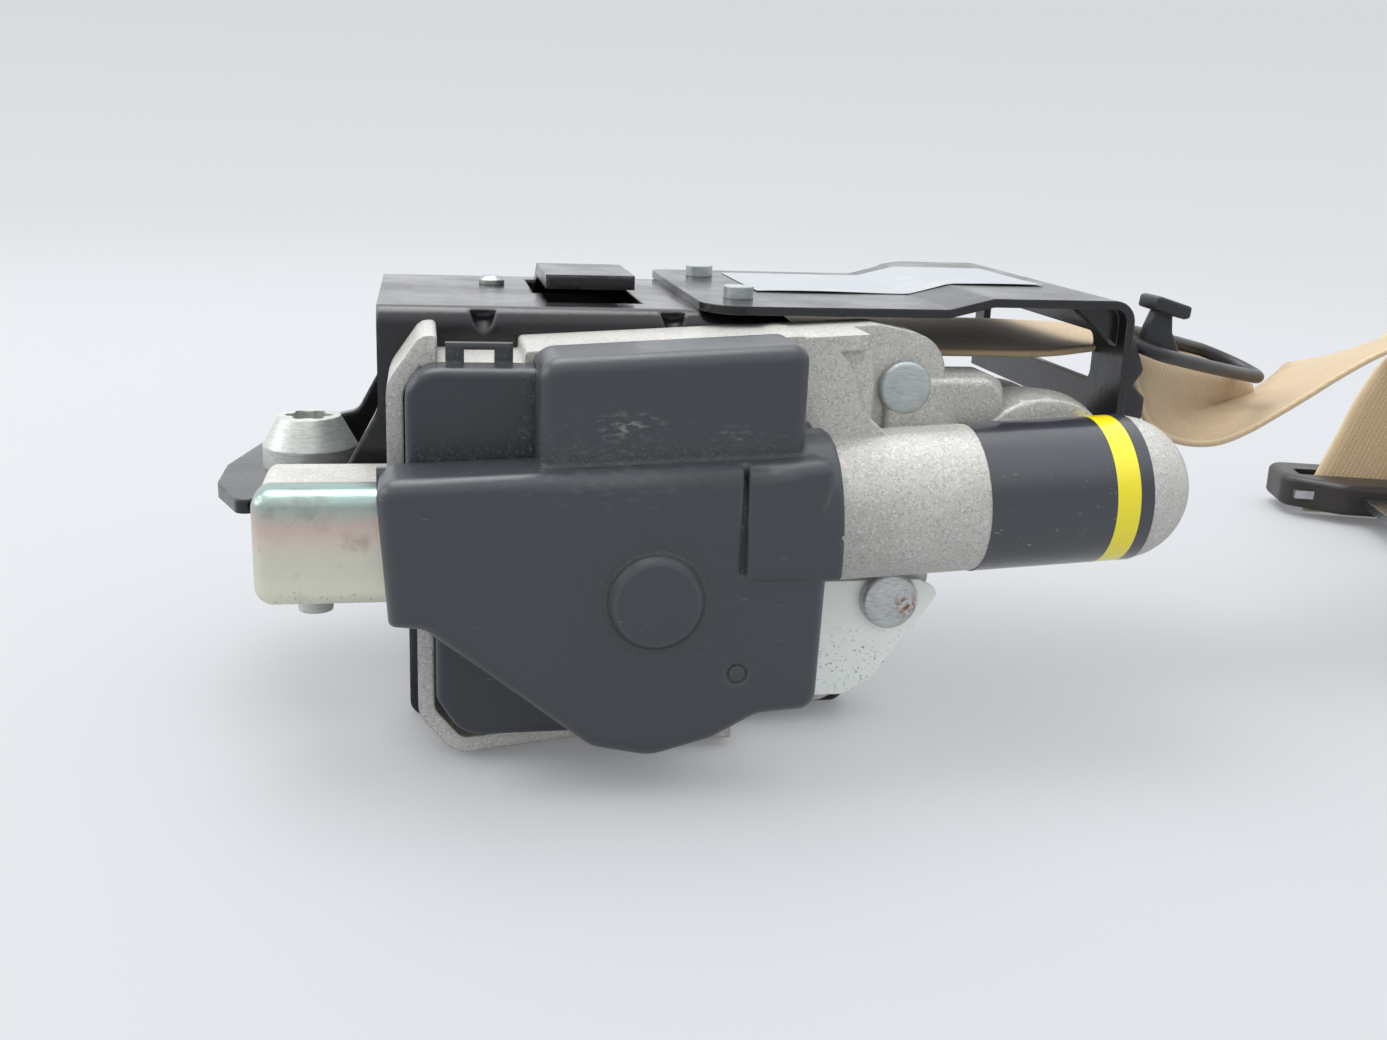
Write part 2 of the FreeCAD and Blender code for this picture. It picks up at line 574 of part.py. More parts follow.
def make_front_cover():
    """Front cover: main shell, raised box, half shell over the tube and the bearing bump."""
    face = side_face(cover_points(), COVER_FRONT)
    back = GEAR_FRONT - 0.2
    main = face.extrude(Vector(0, back - COVER_FRONT, 0))
    main = rounded(main, 2.6, lambda e: at_y(e, COVER_FRONT))
    ledge = box(13.6, 40.0, back - 1, CAST_FRONT - 0.2, ARM_BOTTOM + 1, 16.2)
    bulge_points = [(37.2, 14.0, 0.5), (37.2, 33.6, 3.5), (78.2, 36.2, 2.5), (78.2, 14.0, 0.5)]
    bulge = plate_y(bulge_points, BULGE_FRONT, CAST_FRONT - 0.4)
    bulge = rounded(bulge, 2.6, lambda e: at_y(e, BULGE_FRONT))
    half = rack_rod(TUBE_R + 3.0, 67.8, 83.2).common(box(60, 90, -80, CAST_FRONT - 0.3, 1.2, 40))
    outer = main.fuse([ledge, bulge, half])
    inset = face.makeOffset2D(-COVER_WALL).extrude(Vector(0, back - COVER_FRONT - COVER_WALL + 2, 0))
    inset.translate(Vector(0, COVER_WALL, 0))
    inset = inset.common(box(0, 100, -80, back + 0.5, -60, 60))
    ledge_hollow = box(0, 38.2, back - 2, CAST_FRONT + 1, -30, ARM_TOP + 0.8)
    bulge_hollow = box(39.0, 76.4, BULGE_FRONT + COVER_WALL, CAST_FRONT + 1, 10, 31.8)
    tube_hollow = rack_rod(TUBE_R + 0.6, 60, 90)
    gear_room = box(10, 62.6, GEAR_FRONT - 0.2, 0, -60, 31.4)
    outer = outer.cut([inset, bulge_hollow, tube_hollow, ledge_hollow, gear_room])
    bump = turned_y([(0, COVER_FRONT + COVER_WALL), (BUMP_R, COVER_FRONT + COVER_WALL),
                     (BUMP_R, COVER_FRONT - BUMP_RISE + 1), (BUMP_R - 1.2, COVER_FRONT - BUMP_RISE),
                     (0, COVER_FRONT - BUMP_RISE - 0.3)], SPOOL_X, SPOOL_Z)
    post = rod_y(POST_R, SPOOL_X, SPOOL_Z, COVER_FRONT + 0.5, GEAR_FRONT - 1.5)
    outer = outer.fuse([bump, post])
    ring = rod_y(1.7, 67.7, -14.0, COVER_FRONT - 0.2, COVER_FRONT + 0.35)
    ring = ring.cut(rod_y(1.2, 67.7, -14.0, COVER_FRONT - 0.3, COVER_FRONT + 0.5))
    bore = rod_y(JOURNAL_FRONT_R + RUN_GAP, SPOOL_X, SPOOL_Z, COVER_FRONT + 2.4, GEAR_FRONT + 1)
    return outer.cut([ring, bore, rack_rod(RACK_R + 1, 10, 70)])


JOURNAL_FRONT_R = 3.9


def rod_x(radius, x0, x1):
    """Level cylinder on the rack's line, before the rack is tilted."""
    return Part.makeCylinder(radius, x1 - x0, Vector(x0, RACK_Y, RACK_LEVEL), Vector(1, 0, 0))


def make_rack():
    """Piston and toothed rack in one bar."""
    bar = rod_x(RACK_R, RACK_LEFT, PISTON_LEFT)
    flat = RACK_LEVEL - RACK_DROP - RACK_ADDENDUM
    bar = bar.cut(box(RACK_LEFT - 1, PISTON_LEFT - 2, RACK_Y - 10, RACK_Y + 10, flat - 20, flat))
    piston = rod_x(TUBE_BORE - RUN_GAP, PISTON_LEFT, PISTON_RIGHT)
    seat = rod_x(TUBE_BORE, SEAL_X, SEAL_X + SEAL_WIDTH)
    seat = seat.cut(rod_x(TUBE_BORE - 2, SEAL_X, SEAL_X + SEAL_WIDTH))
    pitch = math.pi * GEAR_MODULE
    line = RACK_LEVEL - RACK_DROP
    slope = math.tan(math.radians(20))
    gap = pitch / 4 + 0.06
    gaps = []
    count = int((PISTON_LEFT - 4 - RACK_LEFT) / pitch)
    first = SPOOL_X - pitch * math.floor((SPOOL_X - RACK_LEFT - 1) / pitch)
    for index in range(count):
        middle = first + index * pitch
        low = line - GEAR_MODULE - 0.1
        high = line + GEAR_MODULE * 1.2
        wide = gap + (line - low) * slope
        narrow = gap - (high - line) * slope
        gaps.append(plate_y([(middle - wide, low), (middle + wide, low), (middle + narrow, high),
                             (middle - narrow, high)], RACK_Y - 8, RACK_Y + 8))
    bar = bar.cut(gaps)
    return tilted(bar.fuse(piston).cut(seat))


SEAL_X = 109.0
SEAL_WIDTH = 3.0


def make_seal():
    """Soft ring round the piston."""
    ring = Part.makeCylinder(TUBE_BORE - 0.1, SEAL_WIDTH, Vector(SEAL_X, RACK_Y, RACK_LEVEL), Vector(1, 0, 0))
    core = Part.makeCylinder(TUBE_BORE - 2, SEAL_WIDTH, Vector(SEAL_X, RACK_Y, RACK_LEVEL), Vector(1, 0, 0))
    return tilted(ring.cut(core))


def involute(base, t):
    """Point of an involute of a circle at roll angle t."""
    return base * (math.cos(t) + t * math.sin(t)), base * (math.sin(t) - t * math.cos(t))


def pinion_teeth():
    """Toothed length of the pinion, with one tooth up towards the rack's gap."""
    base = PITCH_R * math.cos(math.radians(20))
    tip = PITCH_R + GEAR_MODULE * 0.92
    root = PITCH_R - GEAR_MODULE * 1.2
    t_pitch = math.tan(math.radians(20))
    inv_pitch = t_pitch - math.radians(20)
    half_tooth = math.pi / (2 * PINION_TEETH) - 0.02
    steps = 4
    t_tip = math.sqrt((tip / base) ** 2 - 1)
    points = []
    for tooth in range(PINION_TEETH):
        centre = math.pi / 2 + RACK_TILT_RAD + tooth * 2 * math.pi / PINION_TEETH
        flank = []
        for step in range(steps + 1):
            t = t_tip * step / steps
            x, y = involute(base, t)
            flank.append((math.hypot(x, y), math.atan2(y, x)))
        rising = [(radius, centre - half_tooth - inv_pitch + angle) for radius, angle in flank]
        falling = [(radius, centre + half_tooth + inv_pitch - angle) for radius, angle in reversed(flank)]
        points.append((root, centre - half_tooth - inv_pitch))
        points += rising + falling
        points.append((root, centre + half_tooth + inv_pitch))
    corners = [Vector(SPOOL_X + r * math.cos(a), PINION_FRONT, SPOOL_Z + r * math.sin(a)) for r, a in points]
    wire = Part.makePolygon(corners + corners[:1])
    return Part.Face(wire).extrude(Vector(0, PINION_BACK - PINION_FRONT, 0))


RACK_TILT_RAD = math.radians(RACK_TILT)


def make_pinion():
    """Drive pinion with its front journal and the clutch cup behind it."""
    teeth = pinion_teeth()
    journal = rod_y(JOURNAL_FRONT_R, SPOOL_X, SPOOL_Z, COVER_FRONT + 3.0, PINION_FRONT)
    cup_front = PINION_BACK
    cup = rod_y(CUP_R, SPOOL_X, SPOOL_Z, cup_front, CUP_BACK)
    cup = cup.cut(rod_y(CUP_R - CUP_WALL, SPOOL_X, SPOOL_Z, cup_front + 1.4, CUP_BACK + 1))
    return teeth.fuse([journal, cup])


CUP_BACK = -HALF - 0.6
ROLLER_R = (CUP_R - CUP_WALL - HUB_R) / 2 - RUN_GAP


def make_clutch_rollers():
    """Six rollers between the spool hub and the clutch cup."""
    ring_r = (CUP_R - CUP_WALL + HUB_R) / 2
    rollers = []
    for index in range(6):
        angle = math.radians(60 * index)
        rollers.append(rod_y(ROLLER_R, SPOOL_X + ring_r * math.cos(angle), SPOOL_Z + ring_r * math.sin(angle),
                             PINION_BACK + 1.7, CUP_BACK - 0.3))
    return rollers


def make_generator():
    """Gas generator: a stepped canister in the housing's boss."""
    return turned_y([(0, GENERATOR_FRONT), (GENERATOR_R - 3, GENERATOR_FRONT),
                     (GENERATOR_R, GENERATOR_FRONT + 3), (GENERATOR_R, PORT_BACK),
                     (GENERATOR_R + 1.6, PORT_BACK), (GENERATOR_R + 1.6, -10),
                     (GENERATOR_R - 0.5, -8.5), (0, -8.5)], PORT_X, PORT_Z)


def make_generator_retainer():
    """Retaining ring crimped round the generator."""
    ring = rod_y(PORT_R + 0.2, PORT_X, PORT_Z, -14, -10.2)
    return ring.cut(rod_y(GENERATOR_R + 1.6, PORT_X, PORT_Z, -20, 0))


def make_generator_connector():
    """Plastic plug socket on the back of the generator."""
    body = rod_y(8.0, PORT_X, PORT_Z, -8.5, -1.5)
    return body.cut(rod_y(5.5, PORT_X, PORT_Z, -6.5, 0))


def make_ratchet():
    """Ratchet wheel on the spool shaft at the locking side."""
    y0 = HALF + 1.0
    corners = []
    for tooth in range(RATCHET_TEETH):
        start = 2 * math.pi * tooth / RATCHET_TEETH + RATCHET_PHASE
        foot = start + 2 * math.pi / RATCHET_TEETH - 0.04
        for reach, angle in ((RATCHET_R, start), (RATCHET_R - 2.4, foot)):
            x = SPOOL_X + reach * math.cos(angle)
            corners.append(Vector(x, y0, SPOOL_Z + reach * math.sin(angle)))
    wheel = Part.Face(Part.makePolygon(corners + corners[:1])).extrude(Vector(0, RATCHET_T, 0))
    hub = rod_y(9.5, SPOOL_X, SPOOL_Z, HALF + 0.6, y0 + RATCHET_T + 2)
    square = box(SPOOL_X - 3, SPOOL_X + 3, HALF, HALF + 20, SPOOL_Z - 3, SPOOL_Z + 3)
    return wheel.fuse(hub).cut(square)


def make_spring_arbor():
    """Square-ended arbor from the ratchet wheel into the mainspring."""
    square = box(SPOOL_X - 3, SPOOL_X + 3, HALF + 0.6, ARBOR_START, SPOOL_Z - 3, SPOOL_Z + 3)
    return square.fuse(rod_y(ARBOR_R, SPOOL_X, SPOOL_Z, ARBOR_START, ARBOR_END))


MECH_END = HALF + MECH_DEPTH
ARBOR_START = HALF + 1.0 + RATCHET_T + 2
ARBOR_END = MECH_END + SPRING_DEPTH - 0.6
ARBOR_R = 6.0


def make_pawl_pin():
    """Headed pin for the pawl, riveted in the far side plate."""
    pin = rod_y(PAWL_PIN_R, PAWL_X, PAWL_Z, INNER, HALF + 6.4)
    return pin.fuse(rod_y(PAWL_PIN_R + 1.2, PAWL_X, PAWL_Z, HALF + 5.4, HALF + 6.4))


def make_lock_pawl():
    """Locking pawl beside the ratchet wheel."""
    points = [(PAWL_X + 4.2, PAWL_Z - 3.5, 3), (PAWL_X + 4.2, PAWL_Z + 4.5, 3),
              (PAWL_X - 4.4, PAWL_Z + 11.3, 1), (PAWL_X - 8.0, PAWL_Z + 11.0),
              (PAWL_X - 4.5, PAWL_Z - 3.5, 3)]
    pawl = plate_y(points, HALF + 1.2, HALF + 5.2)
    return pawl.cut(rod_y(PAWL_PIN_R + RUN_GAP, PAWL_X, PAWL_Z, HALF, HALF + 8))


def make_mechanism_cover():
    """Plastic cover over the locking parts."""
    points = [(20.5, 27.5, 7), (93.5, 25.0, 7), (95.5, -32.5, 6), (20.5, -32.5, 6)]
    face = side_face(points, HALF)
    body = face.extrude(Vector(0, MECH_DEPTH, 0))
    body = rounded(body, 2.0, lambda e: at_y(e, MECH_END))
    hollow = face.makeOffset2D(-MECH_WALL).extrude(Vector(0, MECH_DEPTH - MECH_WALL, 0))
    body = body.cut(hollow)
    posts = [rod_y(3.6, x, z, HALF, MECH_END - 1) for x, z in SCREW_PLACES]
    body = body.fuse(posts)
    cuts = [rod_y(SCREW_SHANK_R, x, z, HALF - 1, MECH_END + 1) for x, z in SCREW_PLACES]
    cuts.append(rod_y(ARBOR_R + 0.4, SPOOL_X, SPOOL_Z, MECH_END - 3, MECH_END + 1))
    return body.cut(cuts)


def make_cover_screws():
    """Three screws through the mechanism cover into the side plate."""
    screws = []
    for x, z in SCREW_PLACES:
        head = turned_y([(0, MECH_END), (3.0, MECH_END), (3.0, MECH_END + 1.2), (2.0, MECH_END + 2.0),
                         (0, MECH_END + 2.0)], x, z)
        screws.append(head.fuse(rod_y(SCREW_SHANK_R, x, z, INNER, MECH_END)))
    return screws


def make_sensor_housing():
    """Small cage for the vehicle sensor's ball, fixed in the mechanism cover."""
    y0, y1 = HALF + 0.1, MECH_END - MECH_WALL - 0.1
    body = plate_y([(23.0, -29.8, 3.4), (23.0, -13.0, 1.5), (40.2, -13.0, 1.5), (40.2, -29.8, 1.5)], y0, y1)
    cage = rod_y(4.6, 29.5, -22.6, y0 + 1.2, y1 + 1)
    lever_room = box(24.6, 38.4, y0 + 1.2, y1 + 1, -19.5, -10)
    axle_hole = rod_y(0.95, 36.0, -16.4, y0 - 1, y1 + 1)
    return body.cut([cage, lever_room, axle_hole])


def make_sensor_ball():
    """Steel ball in its cage."""
    return Part.makeSphere(3.9, Vector(29.5, HALF + 5.4, -23.2))


def make_spring_case():
    """Round case for the mainspring."""
    cup = rod_y(SPRING_R, SPOOL_X, SPOOL_Z, MECH_END, MECH_END + SPRING_DEPTH)
    inner = rod_y(SPRING_R - 1.6, SPOOL_X, SPOOL_Z, MECH_END + 1.6, MECH_END + SPRING_DEPTH + 1)
    hole = rod_y(ARBOR_R + 0.4, SPOOL_X, SPOOL_Z, MECH_END - 1, MECH_END + 3)
    ears = []
    for x, z in SPRING_EARS:
        ears.append(rod_y(4.0, x, z, MECH_END, MECH_END + 2.5))
        arm = box(min(x, SPOOL_X), max(x, SPOOL_X), MECH_END, MECH_END + 2.5, z - 4.0, z + 4.0)
        ears.append(arm)
    return cup.fuse(ears).cut([inner, hole])


SPRING_EARS = ((27.0, -14.0), (82.0, -14.0))


def make_mainspring():
    """Flat spiral spring from the arbor to the case."""
    turns = 7
    r0 = ARBOR_R + 0.6
    r1 = SPRING_R - 2.4
    y0 = MECH_END + 2.2
    outer = []
    inner = []
    steps = turns * 16
    for step in range(steps + 1):
        angle = 2 * math.pi * turns * step / steps
        radius = r0 + (r1 - r0) * step / steps
        outer.append(Vector(SPOOL_X + radius * math.cos(angle), y0, SPOOL_Z + radius * math.sin(angle)))
        small = radius - SPRING_SHEET
        inner.append(Vector(SPOOL_X + small * math.cos(angle), y0, SPOOL_Z + small * math.sin(angle)))
    curve_out = Part.BSplineCurve()
    curve_out.interpolate(outer)
    curve_in = Part.BSplineCurve()
    curve_in.interpolate(inner)
    edges = [curve_out.toShape(), Part.LineSegment(outer[-1], inner[-1]).toShape(), curve_in.toShape(),
             Part.LineSegment(inner[0], outer[0]).toShape()]
    return Part.Face(Part.Wire(Part.__sortEdges__(edges))).extrude(Vector(0, SPRING_DEPTH - 3.2, 0))


def make_spring_cover():
    """Flat cover on the spring case with three snap lugs."""
    start = MECH_END + SPRING_DEPTH
    disc = rod_y(SPRING_R + 0.8, SPOOL_X, SPOOL_Z, start, start + 1.8)
    disc = rounded(disc, 0.8, lambda e: at_y(e, start + 1.8))
    boss = rod_y(8.0, SPOOL_X, SPOOL_Z, start + 1.8, start + 3.2)
    return disc.fuse(boss)


# Free webbing as stations: the near or left edge of the strap and the direction across it
STRAP_STATIONS = [
    ((SPOOL_X, -23.5, 29.5), (0, 1, 0)), ((97.5, -22.6, 29.5), (0, 1, 0)),
    ((118.0, -19.6, 29.3), (-0.03, 1, 0)), ((142.0, -17.6, 28.6), (0.02, 1, 0)),
    ((146.5, -17.2, 27.3), (0.10, 0.99, 0)), ((150.2, -16.9, 24.8), (0.19, 0.98, 0)),
    ((153.2, -16.6, 21.6), (0.26, 0.96, 0)), ((156.0, -16.3, 18.6), (0.30, 0.95, 0)),
    ((159.5, -16.0, 15.8), (0.31, 0.95, 0)), ((164.3, -16.0, 13.2), (0.29, 0.96, 0.01)),
    ((170.2, -16.0, 11.6), (0.23, 0.97, 0.01)), ((176.2, -16.0, 12.1), (0.17, 0.98, 0)),
    ((182.0, -16.0, 14.7), (0.12, 0.99, -0.03)), ((187.0, -16.0, 17.7), (0.09, 0.99, -0.07)),
    ((192.0, -16.0, 20.9), (0.08, 0.99, -0.12)), ((199.0, -16.0, 25.4), (0.10, 0.98, -0.18)),
    ((207.4, -16.0, 30.5), (0.12, 0.96, -0.25)), ((222.0, -15.5, 35.5), (0.06, 0.95, -0.32)),
    ((240.0, -12.0, 38.5), (-0.05, 0.94, -0.34)), ((262.0, -2.0, 40.0), (-0.24, 0.92, -0.30)),
    ((283.0, 14.0, 41.0), (-0.44, 0.88, -0.20)), ((303.0, 34.0, 41.0), (-0.62, 0.78, -0.10)),
    ((320.0, 54.0, 39.5), (-0.76, 0.64, -0.04)), ((335.0, 71.5, 35.0), (-0.87, 0.49, 0.0)),
    ((344.0, 82.5, 27.0), (-0.92, 0.38, 0.0)), ((348.0, 88.5, 17.0), (-0.954, 0.301, 0)),
    ((346.0, 90.4, 8.0), (-0.954, 0.301, 0)), ((340.6, 89.0, -2.0), (-0.954, 0.301, 0)),
    ((335.2, 87.4, -12.0), (-0.954, 0.301, 0)), ((329.8, 85.8, -22.0), (-0.954, 0.301, 0)),
    ((324.9, 84.4, -31.0), (-0.954, 0.301, 0)), ((324.0, 84.1, -32.8), (-0.954, 0.301, 0))]
LAP_STATIONS = [
    ((276.0, 99.2, -34.35), (0.954, -0.301, 0)), ((284.0, 111.0, -34.35), (0.954, -0.301, 0)),
    ((293.0, 124.0, -30.0), (0.954, -0.28, 0.1)), ((302.0, 136.0, -20.0), (0.96, -0.2, 0.2)),
    ((316.0, 146.0, -12.0), (0.94, -0.2, 0.2)), ((333.0, 152.0, -15.0), (0.84, -0.5, 0.1)),
    ((345.0, 151.0, -24.0), (0.6, -0.8, 0)), ((352.0, 147.0, -30.5), (0.3, -0.954, 0)),
    ((358.0, 146.0, -33.0), (0.1, -0.995, 0)), ((364.0, 145.5, -34.3), (0, -1, 0)),
    ((371.0, 145.5, -34.35), (0, -1, 0))]
BUTTON_STATION = 28
MOST_SKEW = 0.88


def strap_edges(stations):
    """Two edges of a strap: square to the travel they are one belt width apart."""
    near = [Vector(*start) for start, across in stations]
    far = []
    for index, (start, across) in enumerate(stations):
        way = Vector(*across).normalize()
        travel = near[min(index + 1, len(near) - 1)] - near[max(index - 1, 0)]
        square = max(travel.cross(way).Length / travel.Length, MOST_SKEW)
        far.append(near[index] + way * (BELT_WIDTH / square))
    return near, far


def ribbon(stations):
    """Closed strap of the belt's thickness, lofted section by section."""
    near, far = strap_edges(stations)
    count = len(near)
    middles = [(a + b) * 0.5 for a, b in zip(near, far)]
    wires = []
    for index in range(count):
        along = middles[min(index + 1, count - 1)] - middles[max(index - 1, 0)]
        normal = along.cross(far[index] - near[index]).normalize() * (BELT_THICK / 2)
        corners = [near[index] + normal, far[index] + normal, far[index] - normal, near[index] - normal]
        wires.append(Part.makePolygon(corners + corners[:1]))
    return Part.makeLoft(wires, True, True)


def framed(shape, origin, along, across):
    """Move a piece made at the origin to its own axes: along for X and across for Y."""
    x_way = Vector(*along).normalize()
    z_way = x_way.cross(Vector(*across)).normalize()
    y_way = z_way.cross(x_way)
    matrix = FreeCAD.Matrix(x_way.x, y_way.x, z_way.x, origin[0], x_way.y, y_way.y, z_way.y, origin[1],
                            x_way.z, y_way.z, z_way.z, origin[2], 0, 0, 0, 1)
    moved = shape.copy()
    moved.Placement = FreeCAD.Placement(matrix)
    return moved


# Belt guide: an oblong ring over the webbing with a post and a foot on the bracket's flange
GUIDE_CENTRE = (169.4, -8.4, 27.3)
GUIDE_ALONG = (0.832, 0.522, -0.185)
GUIDE_ACROSS = (-0.475, 0.837, 0.27)
GUIDE_LENGTH = 53.0
GUIDE_WIDTH = 19.0
GUIDE_UP = 2.0
GUIDE_DOWN = 2.6
GUIDE_SLOT_LENGTH = 41.0
GUIDE_SLOT_WIDTH = 10.0
GUIDE_SKIRT = 5.0
GUIDE_FOOT_NEAR = -25.0
GUIDE_FOOT_FAR = -20.4


def oblong(length, width, z0, z1):
    """Flat-sided bar with round ends, about the Z axis."""
    reach = length / 2 - width / 2
    middle = box(-reach, reach, -width / 2, width / 2, z0, z1)
    ends = [rod_z(width / 2, x, 0, z0, z1) for x in (-reach, reach)]
    return middle.fuse(ends).removeSplitter()


def make_guide():
    """Belt guide: ring with a skirt on its near side, T-shaped post and the foot on the flange."""
    ring = oblong(GUIDE_LENGTH, GUIDE_WIDTH, -GUIDE_DOWN, GUIDE_UP)
    ring = ring.makeFillet(1.2, ring.Edges)
    skirt = box(-GUIDE_LENGTH / 2 + 7, GUIDE_LENGTH / 2 - 20, -GUIDE_WIDTH / 2 + 0.6, -GUIDE_WIDTH / 2 + 3.0,
                -GUIDE_SKIRT, 0)
    opening = oblong(GUIDE_SLOT_LENGTH, GUIDE_SLOT_WIDTH, -GUIDE_SKIRT - 1, GUIDE_UP + 1)
    body = framed(ring.fuse(skirt).cut(opening), GUIDE_CENTRE, GUIDE_ALONG, GUIDE_ACROSS)
    post = BRACKET_RIGHT + 4.7
    stem = plate_y([(post, 29.0), (post + 4, 29.0), (post + 6.8, 38.4), (post + 2.4, 39.4)], -22.6, -20.0)
    head = plate_y([(post, 38.6), (post + 7.6, 36.8), (post + 8.2, 39.2), (post + 0.8, 41.0)], -24.2, -18.4)
    leg = box(BRACKET_RIGHT, post + 1.1, GUIDE_FOOT_NEAR, GUIDE_FOOT_FAR - 1.0, 22.5, 31.0)
    foot = plate_y([(BRACKET_RIGHT, 24.0), (post + 2.7, 23.8), (post + 2.7, 21.9), (post + 4.8, 21.6, 0.6),
                    (post + 5.2, 17.0, 0.6), (BRACKET_RIGHT, 16.4)], GUIDE_FOOT_NEAR, GUIDE_FOOT_FAR)
    hook = box(BRACKET_RIGHT - BRACKET_T, BRACKET_RIGHT + 1, GUIDE_FOOT_NEAR, GUIDE_FOOT_FAR,
               16.4, FLANGE_BOTTOM)
    return body.fuse([stem, head, leg, foot, hook])


# Tongue: a plastic body round a steel plate, threaded on the steep run of the strap
TONGUE_ALONG = (0.954, -0.301, 0.0)
TONGUE_BLADE = (-0.301, -0.954, 0.0)
TONGUE_BASE = -32.4
TONGUE_THICK = 9.0
TONGUE_WIDTH = 69.0
TONGUE_DEPTH = 27.0
TONGUE_SLOT = (59.0, 7.5)
TONGUE_PLATE_T = 2.4
TONGUE_CENTRE = (301.3, 92.2, TONGUE_BASE + TONGUE_THICK / 2)
BLADE_WIDTH = 30.0
BLADE_END = 47.0


def tongue_plate_local():
    """Steel plate of the tongue about its slot."""
    half_t = TONGUE_PLATE_T / 2
    head = box(-32.0, 32.0, -10.5, 11.0, -half_t, half_t)
    points = [(-BLADE_WIDTH / 2, 10), (BLADE_WIDTH / 2, 10), (BLADE_WIDTH / 2, BLADE_END, 6),
              (-BLADE_WIDTH / 2, BLADE_END, 6)]
    blade = plate_z(points, -half_t, half_t)
    window = plate_z([(-8, 25, 1.5), (8, 25, 1.5), (8, 36, 1.5), (-8, 36, 1.5)], -5, 5)
    slot = box(-TONGUE_SLOT[0] / 2 - 0.5, TONGUE_SLOT[0] / 2 + 0.5, -TONGUE_SLOT[1] / 2 - 0.5,
               TONGUE_SLOT[1] / 2 + 0.5, -5, 5)
    return head.fuse(blade).cut([window, slot])


def make_tongue_plate():
    """Steel plate of the tongue in its place."""
    return framed(tongue_plate_local(), TONGUE_CENTRE, TONGUE_ALONG, TONGUE_BLADE)


def make_tongue_body():
    """Plastic body moulded round the tongue's plate."""
    half = TONGUE_THICK / 2
    body = plate_z([(-TONGUE_WIDTH / 2, -TONGUE_DEPTH / 2, 5), (TONGUE_WIDTH / 2, -TONGUE_DEPTH / 2, 5),
                    (TONGUE_WIDTH / 2, 6, 5), (20, TONGUE_DEPTH / 2 + 2, 6), (-20, TONGUE_DEPTH / 2 + 2, 6),
                    (-TONGUE_WIDTH / 2, 6, 5)], -half, half)
    body = body.makeFillet(1.8, [e for e in body.Edges if e.BoundBox.ZLength < 1e-6])
    across, along = TONGUE_SLOT[0] / 2, TONGUE_SLOT[1] / 2
    slot = plate_z([(-across, -along, 1.5), (across, -along, 1.5), (across, along, 1.5),
                    (-across, along, 1.5)], -10, 10)
    body = body.cut([slot, tongue_plate_local()])
    return framed(body, TONGUE_CENTRE, TONGUE_ALONG, TONGUE_BLADE)


BUTTON_UP = (0.47, 0.14, 0.87)
BUTTON_LIFT = 0.05


def make_stop_button():
    """Two-part stop button riveted through the strap above the tongue."""
    station = STRAP_STATIONS[BUTTON_STATION]
    centre = Vector(*station[0]) + Vector(*station[1]) * (BELT_WIDTH / 2)
    front = rod_z(6.0, 0, 0, BELT_THICK / 2 + BUTTON_LIFT, BELT_THICK / 2 + 2.2)
    top = front.BoundBox.ZMax
    front = front.makeFillet(1.2, [e for e in front.Edges if abs(e.BoundBox.ZMin - top) < 1e-6])
    back = rod_z(5.0, 0, 0, -BELT_THICK / 2 - 1.6, -BELT_THICK / 2 - BUTTON_LIFT)
    placed = []
    for piece in (front, back):
        placed.append(framed(piece, (centre.x, centre.y, centre.z), TONGUE_ALONG, BUTTON_UP))
    return placed


# End anchor: a steel plate with a hole, looped on the end of the lap strap
ANCHOR_BAR_X = 376.0
ANCHOR_BAR_Z = -31.0
ANCHOR_Y = 122.0
ANCHOR_T = 2.5
ANCHOR_HOLE_R = 5.6
ANCHOR_HOLE_X = ANCHOR_BAR_X + 30.0


def make_end_anchor():
    """End anchor plate with a strap slot at one end and a collared hole at the other."""
    z0 = ANCHOR_BAR_Z - ANCHOR_T / 2
    z1 = ANCHOR_BAR_Z + ANCHOR_T / 2
    half = BELT_WIDTH / 2 + 5.5
    points = [(ANCHOR_BAR_X - 1.6, ANCHOR_Y - half, 1.2), (ANCHOR_BAR_X + 14, ANCHOR_Y - half, 6),
              (ANCHOR_HOLE_X + 13, ANCHOR_Y - 9, 8), (ANCHOR_HOLE_X + 13, ANCHOR_Y + 9, 8),
              (ANCHOR_BAR_X + 14, ANCHOR_Y + half, 6), (ANCHOR_BAR_X - 1.6, ANCHOR_Y + half, 1.2)]
    plate = plate_z(points, z0, z1)
    slot = plate_z([(ANCHOR_BAR_X + 1.6, ANCHOR_Y - half + 4, 1), (ANCHOR_BAR_X + 9, ANCHOR_Y - half + 4, 1),
                    (ANCHOR_BAR_X + 9, ANCHOR_Y + half - 4, 1), (ANCHOR_BAR_X + 1.6, ANCHOR_Y + half - 4, 1)],
                   z0 - 1, z1 + 1)
    collar = rod_z(ANCHOR_HOLE_R + 3, ANCHOR_HOLE_X, ANCHOR_Y, FLOOR, z0)
    hole = rod_z(ANCHOR_HOLE_R, ANCHOR_HOLE_X, ANCHOR_Y, FLOOR - 1, z1 + 1)
    return plate.fuse(collar).cut([slot, hole])


def make_end_loop():
    """Sewn end of the lap strap round the bar of the end anchor."""
    half = BELT_WIDTH / 2
    outer = rod_y(4.0, ANCHOR_BAR_X, ANCHOR_BAR_Z, ANCHOR_Y - half, ANCHOR_Y + half)
    neck = box(371.4, ANCHOR_BAR_X, ANCHOR_Y - half, ANCHOR_Y + half, FLOOR, FLOOR + 2.4)
    inner = rod_y(2.8, ANCHOR_BAR_X, ANCHOR_BAR_Z, ANCHOR_Y - 60, ANCHOR_Y + 60)
    return outer.fuse(neck).cut(inner)


